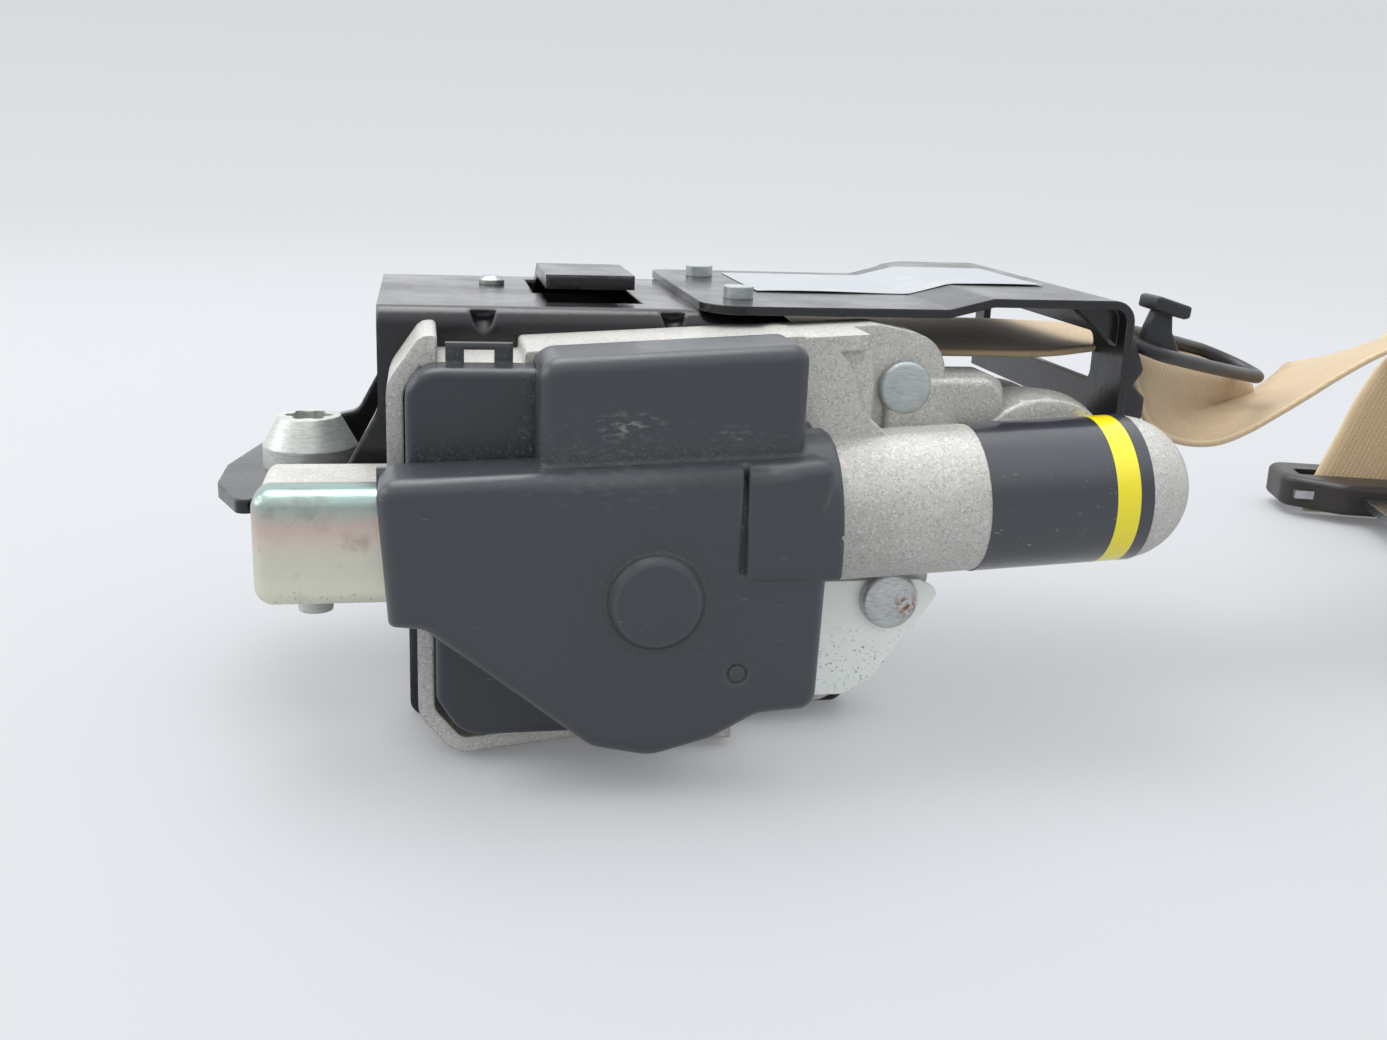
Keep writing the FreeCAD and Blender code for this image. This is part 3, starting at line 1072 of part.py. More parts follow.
def make_sensor_lever():
    """Light lever over the sensor ball, hinged in the sensor housing."""
    points = [(34.6, -17.6, 1.0), (37.4, -17.6, 1.0), (37.4, -15.2, 1.0), (26.0, -15.2, 1.0),
              (26.0, -17.0, 0.5)]
    lever = plate_y(points, HALF + 2.0, HALF + 8.8)
    axle = rod_y(0.9, 36.0, -16.4, HALF + 1.2, HALF + 9.6)
    return lever.fuse(axle)


def build():
    """Make every node."""
    keep("retractor_frame", make_frame())
    keep("tie_rods", *make_tie_rods())
    keep("belt_bracket", make_bracket())
    keep("bracket_rivets", *make_bracket_rivets())
    keep("top_screw", make_top_screw())
    keep("anchor_bolt", make_anchor_bolt())
    keep("near_bush", make_bush(-INNER, -HALF))
    keep("far_bush", make_bush(INNER, HALF))
    keep("spool", make_spool())
    keep("torsion_bar", make_torsion_bar())
    keep("webbing_pin", make_webbing_pin())
    keep("webbing_roll", make_webbing_roll())
    keep("pretensioner_housing", make_housing())
    keep("rack_guard", make_guard())
    keep("base_plate", make_base_plate())
    keep("housing_rivets", *make_housing_rivets())
    keep("gear_cover", make_gear_cover())
    keep("front_cover", make_front_cover())
    keep("piston_rack", make_rack())
    keep("piston_seal", make_seal())
    keep("drive_pinion", make_pinion())
    keep("clutch_rollers", *make_clutch_rollers())
    keep("gas_generator", make_generator())
    keep("generator_retainer", make_generator_retainer())
    keep("generator_connector", make_generator_connector())
    keep("ratchet_wheel", make_ratchet())
    keep("spring_arbor", make_spring_arbor())
    keep("pawl_pin", make_pawl_pin())
    keep("lock_pawl", make_lock_pawl())
    keep("mechanism_cover", make_mechanism_cover())
    keep("cover_screws", *make_cover_screws())
    keep("sensor_housing", make_sensor_housing())
    keep("sensor_ball", make_sensor_ball())
    keep("spring_case", make_spring_case())
    keep("mainspring", make_mainspring())
    keep("spring_cover", make_spring_cover())
    keep("sensor_lever", make_sensor_lever())
    keep("belt_strap", ribbon(STRAP_STATIONS))
    keep("belt_guide", make_guide())
    keep("tongue_plate", make_tongue_plate())
    keep("tongue_body", make_tongue_body())
    keep("stop_button", *make_stop_button())
    keep("lap_strap", ribbon(LAP_STATIONS))
    keep("strap_end_loop", make_end_loop())
    keep("end_anchor", make_end_anchor())


def export():
    """Write one STEP file per node."""
    os.makedirs("parts", exist_ok=True)
    for name, solids in NODES.items():
        shape = solids[0] if len(solids) == 1 else Part.makeCompound(solids)
        bad = "" if shape.isValid() else " INVALID"
        print(f"{name}: {len(shape.Solids)} solid(s), {shape.Volume:.0f} mm3{bad}")
        shape.exportStep(f"parts/{name}.step")


build()
export()
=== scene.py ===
"""Car seat belt lying on a table: retractor with its pretensioner, strap, guide, tongue and end fitting.

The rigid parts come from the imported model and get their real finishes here. Some of them are reworked on
copies. The webbing, the film on the tube and the blank label are made here, in metres, in the model's
own frame: x along the part, y away from the camera, z up, and the table at z = -35 mm.
"""

import logging
import math
from dataclasses import dataclass
from enum import Enum

import bmesh
import bpy
from mathutils import Matrix, Vector


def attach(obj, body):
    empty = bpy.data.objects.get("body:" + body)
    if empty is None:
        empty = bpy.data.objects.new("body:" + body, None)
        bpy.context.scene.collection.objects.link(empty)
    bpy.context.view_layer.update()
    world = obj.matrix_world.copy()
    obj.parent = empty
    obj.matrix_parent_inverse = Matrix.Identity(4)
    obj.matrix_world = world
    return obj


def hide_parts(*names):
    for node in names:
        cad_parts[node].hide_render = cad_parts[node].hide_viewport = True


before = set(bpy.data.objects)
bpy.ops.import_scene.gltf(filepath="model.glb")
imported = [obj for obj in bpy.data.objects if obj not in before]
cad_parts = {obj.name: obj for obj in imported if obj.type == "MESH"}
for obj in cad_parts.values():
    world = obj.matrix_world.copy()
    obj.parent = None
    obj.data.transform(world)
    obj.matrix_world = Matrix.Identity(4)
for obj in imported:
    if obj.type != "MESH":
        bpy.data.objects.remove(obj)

LOG = logging.getLogger("seat_belt")
MM = 0.001
SMOOTH_STEPS = 6

Tree = bpy.types.NodeTree
Node = bpy.types.Node
Socket = bpy.types.NodeSocket
Piece = bpy.types.Object
Triple = tuple[float, float, float]
Outline = list[tuple[float, float]]
Stations = list[tuple[Triple, Triple]]


# Nodes and colours

def linear(code: str) -> tuple[float, float, float, float]:
    """Turns a written sRGB colour into the linear one that a shader reads.

    Args:
        code: The colour as "#rrggbb".

    Returns:
        Red, green, blue and alpha, linear.
    """
    parts = [int(code[i:i + 2], 16) / 255 for i in (1, 3, 5)]
    red, green, blue = (c / 12.92 if c <= 0.04045 else ((c + 0.055) / 1.055) ** 2.4 for c in parts)
    return red, green, blue, 1.0


def add_node(tree: Tree, kind: str, inputs: dict | None = None, **settings) -> Node:
    """Adds a node with its settings and its inputs.

    Args:
        tree: The node tree.
        kind: The node's type name without its "ShaderNode".
        inputs: Values or sockets, by the input's name or place.
        **settings: The node's own properties.

    Returns:
        The node.
    """
    node = tree.nodes.new("ShaderNode" + kind)
    for name, value in settings.items():
        setattr(node, name, value)
    for name, value in (inputs or {}).items():
        if isinstance(value, Socket):
            tree.links.new(value, node.inputs[name])
        else:
            node.inputs[name].default_value = value
    return node


# Finishes

@dataclass(frozen=True)
class Finish:
    """A surface: what it is made of and how it was made.

    Attributes:
        name: The material's name.
        colour: Its own colour.
        roughness: How dull it is.
        metallic: 1 for bare metal, 0 for plastic, paint and cloth.
        soft_edge_mm: Radius that the light sees on a sharp edge.
    """

    name: str
    colour: str
    roughness: float
    metallic: float = 0.0
    soft_edge_mm: float = 0.35

    def material(self) -> bpy.types.Material:
        """Makes the material.

        Returns:
            The material, with its nodes.
        """
        material = bpy.data.materials.new(self.name)
        material.use_nodes = True
        material.diffuse_color = linear(self.colour)
        tree = material.node_tree
        shader = tree.nodes["Principled BSDF"]
        shader.inputs["Base Color"].default_value = linear(self.colour)
        shader.inputs["Roughness"].default_value = self.roughness
        shader.inputs["Metallic"].default_value = self.metallic
        self.dress(tree, shader)
        return material

    def dress(self, tree: Tree, shader: Node) -> None:
        """Adds the pattern. Each finish has its own."""
        raise NotImplementedError

    def place(self, tree: Tree) -> Socket:
        """The object's own coordinates, in metres."""
        return add_node(tree, "TexCoord").outputs["Object"]

    def round_normal(self, tree: Tree) -> Socket:
        """The surface's direction with its sharp edges rounded off."""
        return add_node(tree, "Bevel", {"Radius": self.soft_edge_mm * MM}, samples=4).outputs["Normal"]

    def edge_mask(self, tree: Tree, normal: Socket) -> Socket:
        """How near a point is to a sharp edge.

        Args:
            tree: The node tree.
            normal: The rounded direction.

        Returns:
            0 on the flat, 1 on the edge.
        """
        flat = add_node(tree, "NewGeometry").outputs["True Normal"]
        dot = add_node(tree, "VectorMath", {0: flat, 1: normal}, operation="DOT_PRODUCT").outputs["Value"]
        return add_node(tree, "MapRange", {"Value": dot, 1: 0.985, 2: 0.86, 3: 0, 4: 1}).outputs["Result"]

    def mixed(self, tree: Tree, mask: Socket, low: str | Socket, high: str | Socket) -> Socket:
        """Mixes two colours.

        Args:
            tree: The node tree.
            mask: 0 gives low and 1 gives high.
            low: A colour or a socket.
            high: A colour or a socket.

        Returns:
            The colour.
        """
        low = linear(low) if isinstance(low, str) else low
        high = linear(high) if isinstance(high, str) else high
        return add_node(tree, "Mix", {0: mask, 6: low, 7: high}, data_type="RGBA").outputs[2]

    def spots(self, tree: Tree, size_mm: float, low: float, high: float, detail: float = 3.0,
              stretch: Triple = (1, 1, 1)) -> Socket:
        """Scattered spots of one size.

        Args:
            tree: The node tree.
            size_mm: The spots' size.
            low: Noise value where a spot starts.
            high: Noise value where it is full.
            detail: How ragged the spots are.
            stretch: Scale of the pattern along x, y and z.

        Returns:
            A mask from 0 to 1.
        """
        where = add_node(tree, "Mapping", {"Vector": self.place(tree), "Scale": stretch}).outputs["Vector"]
        noise = add_node(tree, "TexNoise", {"Vector": where, "Scale": 1 / (size_mm * MM), "Detail": detail,
                                            "Roughness": 0.6}).outputs["Fac"]
        return add_node(tree, "MapRange", {"Value": noise, 1: low, 2: high, 3: 0, 4: 1}).outputs["Result"]

    def vary(self, tree: Tree, mask: Socket, low: float, high: float) -> Socket:
        """Spreads a mask over a range of values.

        Args:
            tree: The node tree.
            mask: From 0 to 1.
            low: The value at 0.
            high: The value at 1.

        Returns:
            The value.
        """
        return add_node(tree, "MapRange", {"Value": mask, 1: 0, 2: 1, 3: low, 4: high}).outputs["Result"]

    def relief(self, tree: Tree, shader: Node, height: Socket, depth_mm: float,
               normal: Socket | None = None) -> None:
        """Gives the surface its fine relief.

        Args:
            tree: The node tree.
            shader: The surface's shader.
            height: The relief, from 0 to 1.
            depth_mm: How deep it is.
            normal: The direction that it starts from.
        """
        inputs = {"Height": height, "Distance": depth_mm * MM, "Strength": 1.0}
        if normal is not None:
            inputs["Normal"] = normal
        bump = add_node(tree, "Bump", inputs)
        tree.links.new(bump.outputs["Normal"], shader.inputs["Normal"])


@dataclass(frozen=True)
class CoatedSteel(Finish):
    """Pressed steel with a dip-painted black coat: satin, with an orange peel and lighter edges, partly
    rubbed coat and partly a painted highlight.

    Attributes:
        rubbed: Colour of the edges: thin rubbed coat, and a painted highlight on the folds.
        dust: Colour of the dust on it.
        peel_mm: Size of the orange peel.
    """

    rubbed: str = "#5b5e61"
    dust: str = "#8a8c8e"
    peel_mm: float = 1.3

    def dress(self, tree: Tree, shader: Node) -> None:
        """Adds the peel, the lighter edges (rubbed coat and painted highlight) and the dust.

        Args:
            tree: The node tree.
            shader: The surface's shader.
        """
        normal = self.round_normal(tree)
        # Patches along the sharp edges are painted lighter: partly rubbed coat, partly a painted highlight on
        # the folds.
        rub = add_node(tree, "Math", {0: self.edge_mask(tree, normal), 1: self.spots(tree, 5, 0.42, 0.6)},
                       operation="MULTIPLY").outputs[0]
        worn = self.mixed(tree, rub, self.colour, self.rubbed)
        dust = self.vary(tree, self.spots(tree, 0.9, 0.68, 0.76, 5), 0, 0.25)
        tree.links.new(self.mixed(tree, dust, worn, self.dust), shader.inputs["Base Color"])
        patches = self.spots(tree, 14, 0.3, 0.7)
        tree.links.new(self.vary(tree, patches, self.roughness - 0.07, self.roughness + 0.08),
                       shader.inputs["Roughness"])
        self.relief(tree, shader, self.spots(tree, self.peel_mm, 0.2, 0.8, 1), 0.02, normal)


@dataclass(frozen=True)
class MouldedPlastic(Finish):
    """Injection-moulded plastic: satin, with fine spark-eroded grain, dust and scuffs.

    Attributes:
        scuff: Colour of a scratch, and of the lighter edges, which are partly wear and partly a painted
            highlight.
        grain_mm: Size of the grain, drawn coarser than the real 0.1 mm so that it shows.
        scuffs: How strong the scratches and the dust are.
        corner_dust: How much dust has gathered in the corners.
        dust: Colour of that dust.
        rubs_mm: Rubbed patches, each as x, z, half its length and its strength.
        rubbed: Colour of such a patch.
    """

    scuff: str = "#7c7e7f"
    grain_mm: float = 0.45
    scuffs: float = 0.5
    corner_dust: float = 0.0
    dust: str = "#8d8a80"
    rubs_mm: tuple[tuple[float, float, float, float], ...] = ()
    rubbed: str = "#a3a6a6"

    def dress(self, tree: Tree, shader: Node) -> None:
        """Adds the grain, thin scratches, dust in the corners, the rubbed spots and lighter edges that are
        partly a painted highlight.

        Args:
            tree: The node tree.
            shader: The surface's shader.
        """
        normal = self.round_normal(tree)
        scratch = self.spots(tree, 3.2, 0.66, 0.72, 4, (1, 1, 9))
        area = self.spots(tree, 18, 0.5, 0.62)
        marks = add_node(tree, "Math", {0: scratch, 1: area}, operation="MULTIPLY").outputs[0]
        specks = self.spots(tree, 0.55, 0.74, 0.79, 2)
        both = add_node(tree, "Math", {0: marks, 1: specks}, operation="MAXIMUM").outputs[0]
        colour = self.mixed(tree, self.vary(tree, both, 0, self.scuffs), self.colour, self.scuff)
        if self.corner_dust:
            colour = self.mixed(tree, self.corners(tree, normal), colour, self.dust)
        for x, z, reach, strength in self.rubs_mm:
            colour = self.mixed(tree, self.rub(tree, x, z, reach, strength), colour, self.rubbed)
        # Every sharp edge is painted a little lighter: partly whitened wear, partly a painted highlight.
        edge = self.vary(tree, self.edge_mask(tree, normal), 0, 0.16)
        tree.links.new(self.mixed(tree, edge, colour, self.scuff), shader.inputs["Base Color"])
        patches = self.spots(tree, 11, 0.3, 0.7)
        tree.links.new(self.vary(tree, patches, self.roughness - 0.05, self.roughness + 0.07),
                       shader.inputs["Roughness"])
        self.relief(tree, shader, self.spots(tree, self.grain_mm, 0.2, 0.8, 2), 0.012, normal)

    def corners(self, tree: Tree, normal: Socket) -> Socket:
        """Grains of dust where a corner has little open air.

        Args:
            tree: The node tree.
            normal: The rounded direction.

        Returns:
            A mask from 0 to 1.
        """
        air = add_node(tree, "AmbientOcclusion", {"Distance": 5 * MM, "Normal": normal}, samples=4)
        corner = add_node(tree, "MapRange", {"Value": air.outputs["AO"], 1: 0.9, 2: 0.45, 3: 0,
                                             4: self.corner_dust}).outputs["Result"]
        return add_node(tree, "Math", {0: corner, 1: self.spots(tree, 0.45, 0.5, 0.7, 4)},
                        operation="MULTIPLY").outputs[0]

    def rub(self, tree: Tree, x: float, z: float, reach: float, strength: float) -> Socket:
        """One patch of short rubbed strokes on a side face.

        Args:
            tree: The node tree.
            x: The patch's middle along the part, in millimetres.
            z: Its height, in millimetres.
            reach: Half its length, in millimetres.
            strength: How white it is.

        Returns:
            A mask from 0 to 1.
        """
        squash = 2.4
        flat = add_node(tree, "Mapping", {"Vector": self.place(tree), "Scale": (1, 0, squash),
                                          "Location": (-x * MM, 0, -squash * z * MM)}).outputs["Vector"]
        away = add_node(tree, "VectorMath", {0: flat}, operation="LENGTH").outputs["Value"]
        near = add_node(tree, "MapRange", {"Value": away, 1: reach * MM, 2: 0, 3: 0, 4: strength})
        strokes = self.spots(tree, 2.2, 0.5, 0.68, 6, (1, 1, 2.6))
        return add_node(tree, "Math", {0: near.outputs["Result"], 1: strokes},
                        operation="MULTIPLY").outputs[0]


@dataclass(frozen=True)
class DieCastAlloy(Finish):
    """Die-cast aluminium, blasted with grit: pale grey, sandy, with painted glints on its grains and darker
    stains.

    Attributes:
        bright: Colour of the painted glints on the grains.
        dark: Colour of the pits.
        grit_mm: Size of the grit's dents, drawn coarser than the real 0.2 mm so that it shows.
        stain: Strength of the large stains.
    """

    bright: str = "#e4e4e0"
    dark: str = "#77756f"
    grit_mm: float = 0.3
    stain: float = 0.22

    def dress(self, tree: Tree, shader: Node) -> None:
        """Adds the grit, the painted glints on its grains and the stains.

        Args:
            tree: The node tree.
            shader: The surface's shader.
        """
        normal = self.round_normal(tree)
        cells = add_node(tree, "TexVoronoi", {"Vector": self.place(tree), "Scale": 1 / (self.grit_mm * MM)})
        level = add_node(tree, "SeparateColor", {0: cells.outputs["Color"]}).outputs[0]
        glint, pit = (add_node(tree, "MapRange", {"Value": level, 1: start, 2: full, 3: 0, 4: most})
                      .outputs["Result"] for start, full, most in ((0.8, 1.0, 0.45), (0.35, 0.0, 0.4)))
        stains = self.vary(tree, self.spots(tree, 16, 0.42, 0.7), 0, self.stain)
        colour = self.mixed(tree, stains, self.colour, self.dark)
        colour = self.mixed(tree, pit, colour, self.dark)
        # Painted glint: the highest grains are painted pale whatever light falls on them.
        tree.links.new(self.mixed(tree, glint, colour, self.bright), shader.inputs["Base Color"])
        dull = self.vary(tree, glint, self.roughness, self.roughness - 0.2)
        tree.links.new(dull, shader.inputs["Roughness"])
        self.relief(tree, shader, level, 0.035, normal)


@dataclass(frozen=True)
class PassivatedZinc(Finish):
    """Bright zinc plate with a thin chromate film.

    It is silver, with faint green, pink and yellow bands, dark pits and brown stains.

    Attributes:
        film: The film's colours, from the lowest to the highest, as the bath ran off.
        bands_mm: Heights of the lowest and the highest colour.
        wander_mm: How far a band strays up or down.
        pits: Strength of the dark pits.
        pit: Colour of a pit.
        pit_at_mm: Heights where the pits start and where they are thickest.
        stain: Strength of the brown stains.
        brown: Colour of a stain.
    """

    film: tuple[str, ...] = ("#d3dac6", "#d6d6c2", "#cfd0bd", "#cfccbd", "#d0c5b9", "#c9b5ab", "#a9b1aa",
                             "#8aa29c")
    bands_mm: tuple[float, float] = (-6.0, 12.5)
    wander_mm: float = 2.2
    pits: float = 0.85
    pit: str = "#4e4a3c"
    pit_at_mm: tuple[float, float] = (-2.0, -6.0)
    stain: float = 0.4
    brown: str = "#6d5c42"

    def dress(self, tree: Tree, shader: Node) -> None:
        """Adds the coloured film, the stains, the pits and the rolled streaks.

        Args:
            tree: The node tree.
            shader: The surface's shader.
        """
        normal = self.round_normal(tree)
        noise = add_node(tree, "TexNoise", {"Vector": self.place(tree), "Scale": 1 / (14 * MM),
                                            "Detail": 3.0, "Distortion": 0.4})
        wander = self.vary(tree, noise.outputs["Fac"], -self.wander_mm * MM, self.wander_mm * MM)
        rise = add_node(tree, "SeparateXYZ", {0: self.place(tree)}).outputs[2]
        level = add_node(tree, "Math", {0: rise, 1: wander}, operation="ADD").outputs[0]
        fine = self.spots(tree, 0.6, 0.6, 0.68, 3)
        area = add_node(tree, "MapRange", {"Value": level, 1: self.pit_at_mm[0] * MM,
                                           2: self.pit_at_mm[1] * MM, 3: 0.08, 4: 1}).outputs["Result"]
        pit = add_node(tree, "Math", {0: fine, 1: area}, operation="MULTIPLY").outputs[0]
        stain = self.vary(tree, self.spots(tree, 5.5, 0.54, 0.72, 6), 0, self.stain)
        stained = self.mixed(tree, stain, self.bands(tree, level), self.brown)
        colour = self.mixed(tree, self.vary(tree, pit, 0, self.pits), stained, self.pit)
        tree.links.new(colour, shader.inputs["Base Color"])
        tree.links.new(self.vary(tree, pit, self.roughness, 0.75), shader.inputs["Roughness"])
        tree.links.new(self.vary(tree, pit, self.metallic, 0.1), shader.inputs["Metallic"])
        self.relief(tree, shader, self.spots(tree, 1.1, 0.3, 0.8, 2, (1, 1, 5)), 0.012, normal)

    def bands(self, tree: Tree, level: Socket) -> Socket:
        """The film's colours, one above the other.

        Args:
            tree: The node tree.
            level: The height, with its wander.

        Returns:
            The colour.
        """
        low, high = (height * MM for height in self.bands_mm)
        share = add_node(tree, "MapRange", {"Value": level, 1: low, 2: high, 3: 0, 4: 1}).outputs["Result"]
        bands = add_node(tree, "ValToRGB", {"Fac": share})
        stops = bands.color_ramp.elements
        for step, code in enumerate(self.film):
            spot = step / (len(self.film) - 1)
            stop = stops[0] if step == 0 else stops.new(min(spot, 0.999))
            stop.position = spot
            stop.color = linear(code)
        stops[-1].color = linear(self.film[-1])
        return bands.outputs["Color"]


@dataclass(frozen=True)
class DullSteel(Finish):
    """Plated or bare steel that has been handled: grey, with fine streaks, smudges and some rust.

    Attributes:
        streak: Colour of the streaks.
        rust: Colour of the rust.
        rust_at_mm: Middle of the rusty patch, or None where there is none.
        rust_r_mm: Radius of that patch.
    """

    streak: str = "#5f625f"
    rust: str = "#8a5c38"
    rust_at_mm: Triple | None = None
    rust_r_mm: float = 3.0

    def dress(self, tree: Tree, shader: Node) -> None:
        """Adds the streaks, and the rust where there is some.

        Args:
            tree: The node tree.
            shader: The surface's shader.
        """
        normal = self.round_normal(tree)
        lines = self.vary(tree, self.spots(tree, 1.6, 0.45, 0.75, 5, (1, 1, 6)), 0, 0.7)
        smudge = self.vary(tree, self.spots(tree, 5, 0.4, 0.7), 0, 0.3)
        colour = self.mixed(tree, lines, self.colour, self.streak)
        colour = self.mixed(tree, smudge, colour, self.streak)
        if self.rust_at_mm is not None:
            middle = tuple(v * MM for v in self.rust_at_mm)
            away = add_node(tree, "VectorMath", {0: self.place(tree), 1: middle}, operation="DISTANCE")
            near = add_node(tree, "MapRange", {"Value": away.outputs["Value"], 1: self.rust_r_mm * MM,
                                               2: 0.3 * self.rust_r_mm * MM, 3: 0, 4: 1}).outputs["Result"]
            grain = self.spots(tree, 1.1, 0.44, 0.56, 5)
            spot = add_node(tree, "Math", {0: near, 1: grain}, operation="MULTIPLY").outputs[0]
            colour = self.mixed(tree, spot, colour, self.rust)
        tree.links.new(colour, shader.inputs["Base Color"])
        dull = self.vary(tree, lines, self.roughness, self.roughness + 0.15)
        tree.links.new(dull, shader.inputs["Roughness"])
        self.relief(tree, shader, self.spots(tree, 0.7, 0.2, 0.8, 3), 0.015, normal)


@dataclass(frozen=True)
class WovenWebbing(Finish):
    """Polyester seat belt webbing: warp cords side by side in a fine twill, with firm woven edges.

    Its pattern follows the piece's own map, which is in metres across and along the belt. The real cords are
    0.8 mm apart, and are drawn 1.2 mm apart so that they show.

    Attributes:
        hollow: Colour of the painted shade between the cords.
        edge: Colour of the woven edges.
        cord_mm: Distance between the cords.
        pick_mm: Length of one twill step.
        width_mm: Width of the webbing.
    """

    hollow: str = "#8d7659"
    edge: str = "#c9b594"
    cord_mm: float = 1.2
    pick_mm: float = 1.5
    width_mm: float = 47.0

    def dress(self, tree: Tree, shader: Node) -> None:
        """Adds the cords, the twill with painted shade in its low parts, and the edges.

        Args:
            tree: The node tree.
            shader: The surface's shader.
        """
        flat = add_node(tree, "UVMap", uv_map="Webbing").outputs["UV"]
        split = add_node(tree, "SeparateXYZ", {0: flat})
        weave = self.weave(tree, split)
        fibres = self.spots(tree, 0.5, 0.3, 0.75, 4)
        tone = add_node(tree, "Math", {0: weave, 1: fibres}, operation="MULTIPLY").outputs[0]
        worn = self.spots(tree, 30, 0.35, 0.7)
        # Painted shade: the low parts of the weave are darkened towards the hollow colour.
        colour = self.mixed(tree, self.vary(tree, tone, 0.45, 0), self.colour, self.hollow)
        colour = self.mixed(tree, self.vary(tree, worn, 0, 0.2), colour, self.edge)
        half = self.width_mm / 2
        middle = add_node(tree, "Math", {0: split.outputs[0], 1: half * MM}, operation="SUBTRACT").outputs[0]
        side = add_node(tree, "Math", {0: middle}, operation="ABSOLUTE").outputs[0]
        edge = add_node(tree, "MapRange", {"Value": side, 1: (half - 1.6) * MM, 2: (half - 1.2) * MM, 3: 0,
                                           4: 0.6}).outputs["Result"]
        tree.links.new(self.mixed(tree, edge, colour, self.edge), shader.inputs["Base Color"])
        shader.inputs["Sheen Weight"].default_value = 0.25
        shader.inputs["Sheen Roughness"].default_value = 0.5
        shader.inputs["Specular IOR Level"].default_value = 0.3
        self.relief(tree, shader, weave, 0.12)

    def weave(self, tree: Tree, split: Node) -> Socket:
        """The cords and the slanted steps of the twill across them.

        Args:
            tree: The node tree.
            split: The map's two directions, across and along.

        Returns:
            The height of the weave, from 0 to 1.
        """
        across, along = (add_node(tree, "Math", {0: way, 1: 1 / (size * MM)}, operation="MULTIPLY").outputs[0]
                         for way, size in zip(split.outputs, (self.cord_mm, self.pick_mm)))
        fold = add_node(tree, "Math", {0: across, 1: 3.0}, operation="PINGPONG").outputs[0]
        slant = add_node(tree, "Math", {0: along, 1: fold}, operation="ADD").outputs[0]
        cord = add_node(tree, "Math", {0: across, 1: 0.5}, operation="PINGPONG").outputs[0]
        step = add_node(tree, "Math", {0: slant, 1: 0.5}, operation="PINGPONG").outputs[0]
        both = add_node(tree, "Math", {0: cord, 1: step}, operation="ADD").outputs[0]
        return self.vary(tree, both, 0, 1)


@dataclass(frozen=True)
class PrintedFilm(Finish):
    """Printed polyester film stuck on metal: glossy, with a plain stripe and small creases.

    Its pattern follows the piece's own map: x runs along the tube from 0 to 1.

    Attributes:
        stripe: Colour of the plain stripe.
        stripe_from: Where the stripe starts.
        stripe_to: Where it ends.
        scratch: Colour of a scratch.
    """

    stripe: str = "#e9d911"
    stripe_from: float = 0.77
    stripe_to: float = 0.915
    scratch: str = "#b9bbbc"

    def dress(self, tree: Tree, shader: Node) -> None:
        """Adds the stripe, the scratches and the creases.

        Args:
            tree: The node tree.
            shader: The surface's shader.
        """
        flat = add_node(tree, "UVMap", uv_map="Film").outputs["UV"]
        along = add_node(tree, "SeparateXYZ", {0: flat}).outputs[0]
        start = add_node(tree, "Math", {0: along, 1: self.stripe_from}, operation="GREATER_THAN").outputs[0]
        end = add_node(tree, "Math", {0: along, 1: self.stripe_to}, operation="LESS_THAN").outputs[0]
        inside = add_node(tree, "Math", {0: start, 1: end}, operation="MULTIPLY").outputs[0]
        scuff = self.vary(tree, self.spots(tree, 2.2, 0.66, 0.74, 4, (1, 6, 1)), 0, 0.35)
        colour = self.mixed(tree, inside, self.colour, self.stripe)
        tree.links.new(self.mixed(tree, scuff, colour, self.scratch), shader.inputs["Base Color"])
        shader.inputs["Coat Weight"].default_value = 0.6
        shader.inputs["Coat Roughness"].default_value = 0.12
        self.relief(tree, shader, self.spots(tree, 6, 0.3, 0.7, 2), 0.06)


@dataclass(frozen=True)
class LabelPaper(Finish):
    """Coated white paper label: nearly smooth, with soft ripples where the glue let go.

    Attributes:
        dirt: Colour of the dirt on it.
    """

    dirt: str = "#c9c8c2"

    def dress(self, tree: Tree, shader: Node) -> None:
        """Adds the ripples and a little dirt.

        Args:
            tree: The node tree.
            shader: The surface's shader.
        """
        dirt = self.vary(tree, self.spots(tree, 7, 0.55, 0.75), 0, 0.18)
        tree.links.new(self.mixed(tree, dirt, self.colour, self.dirt), shader.inputs["Base Color"])
        self.relief(tree, shader, self.spots(tree, 9, 0.3, 0.7, 2), 0.15)


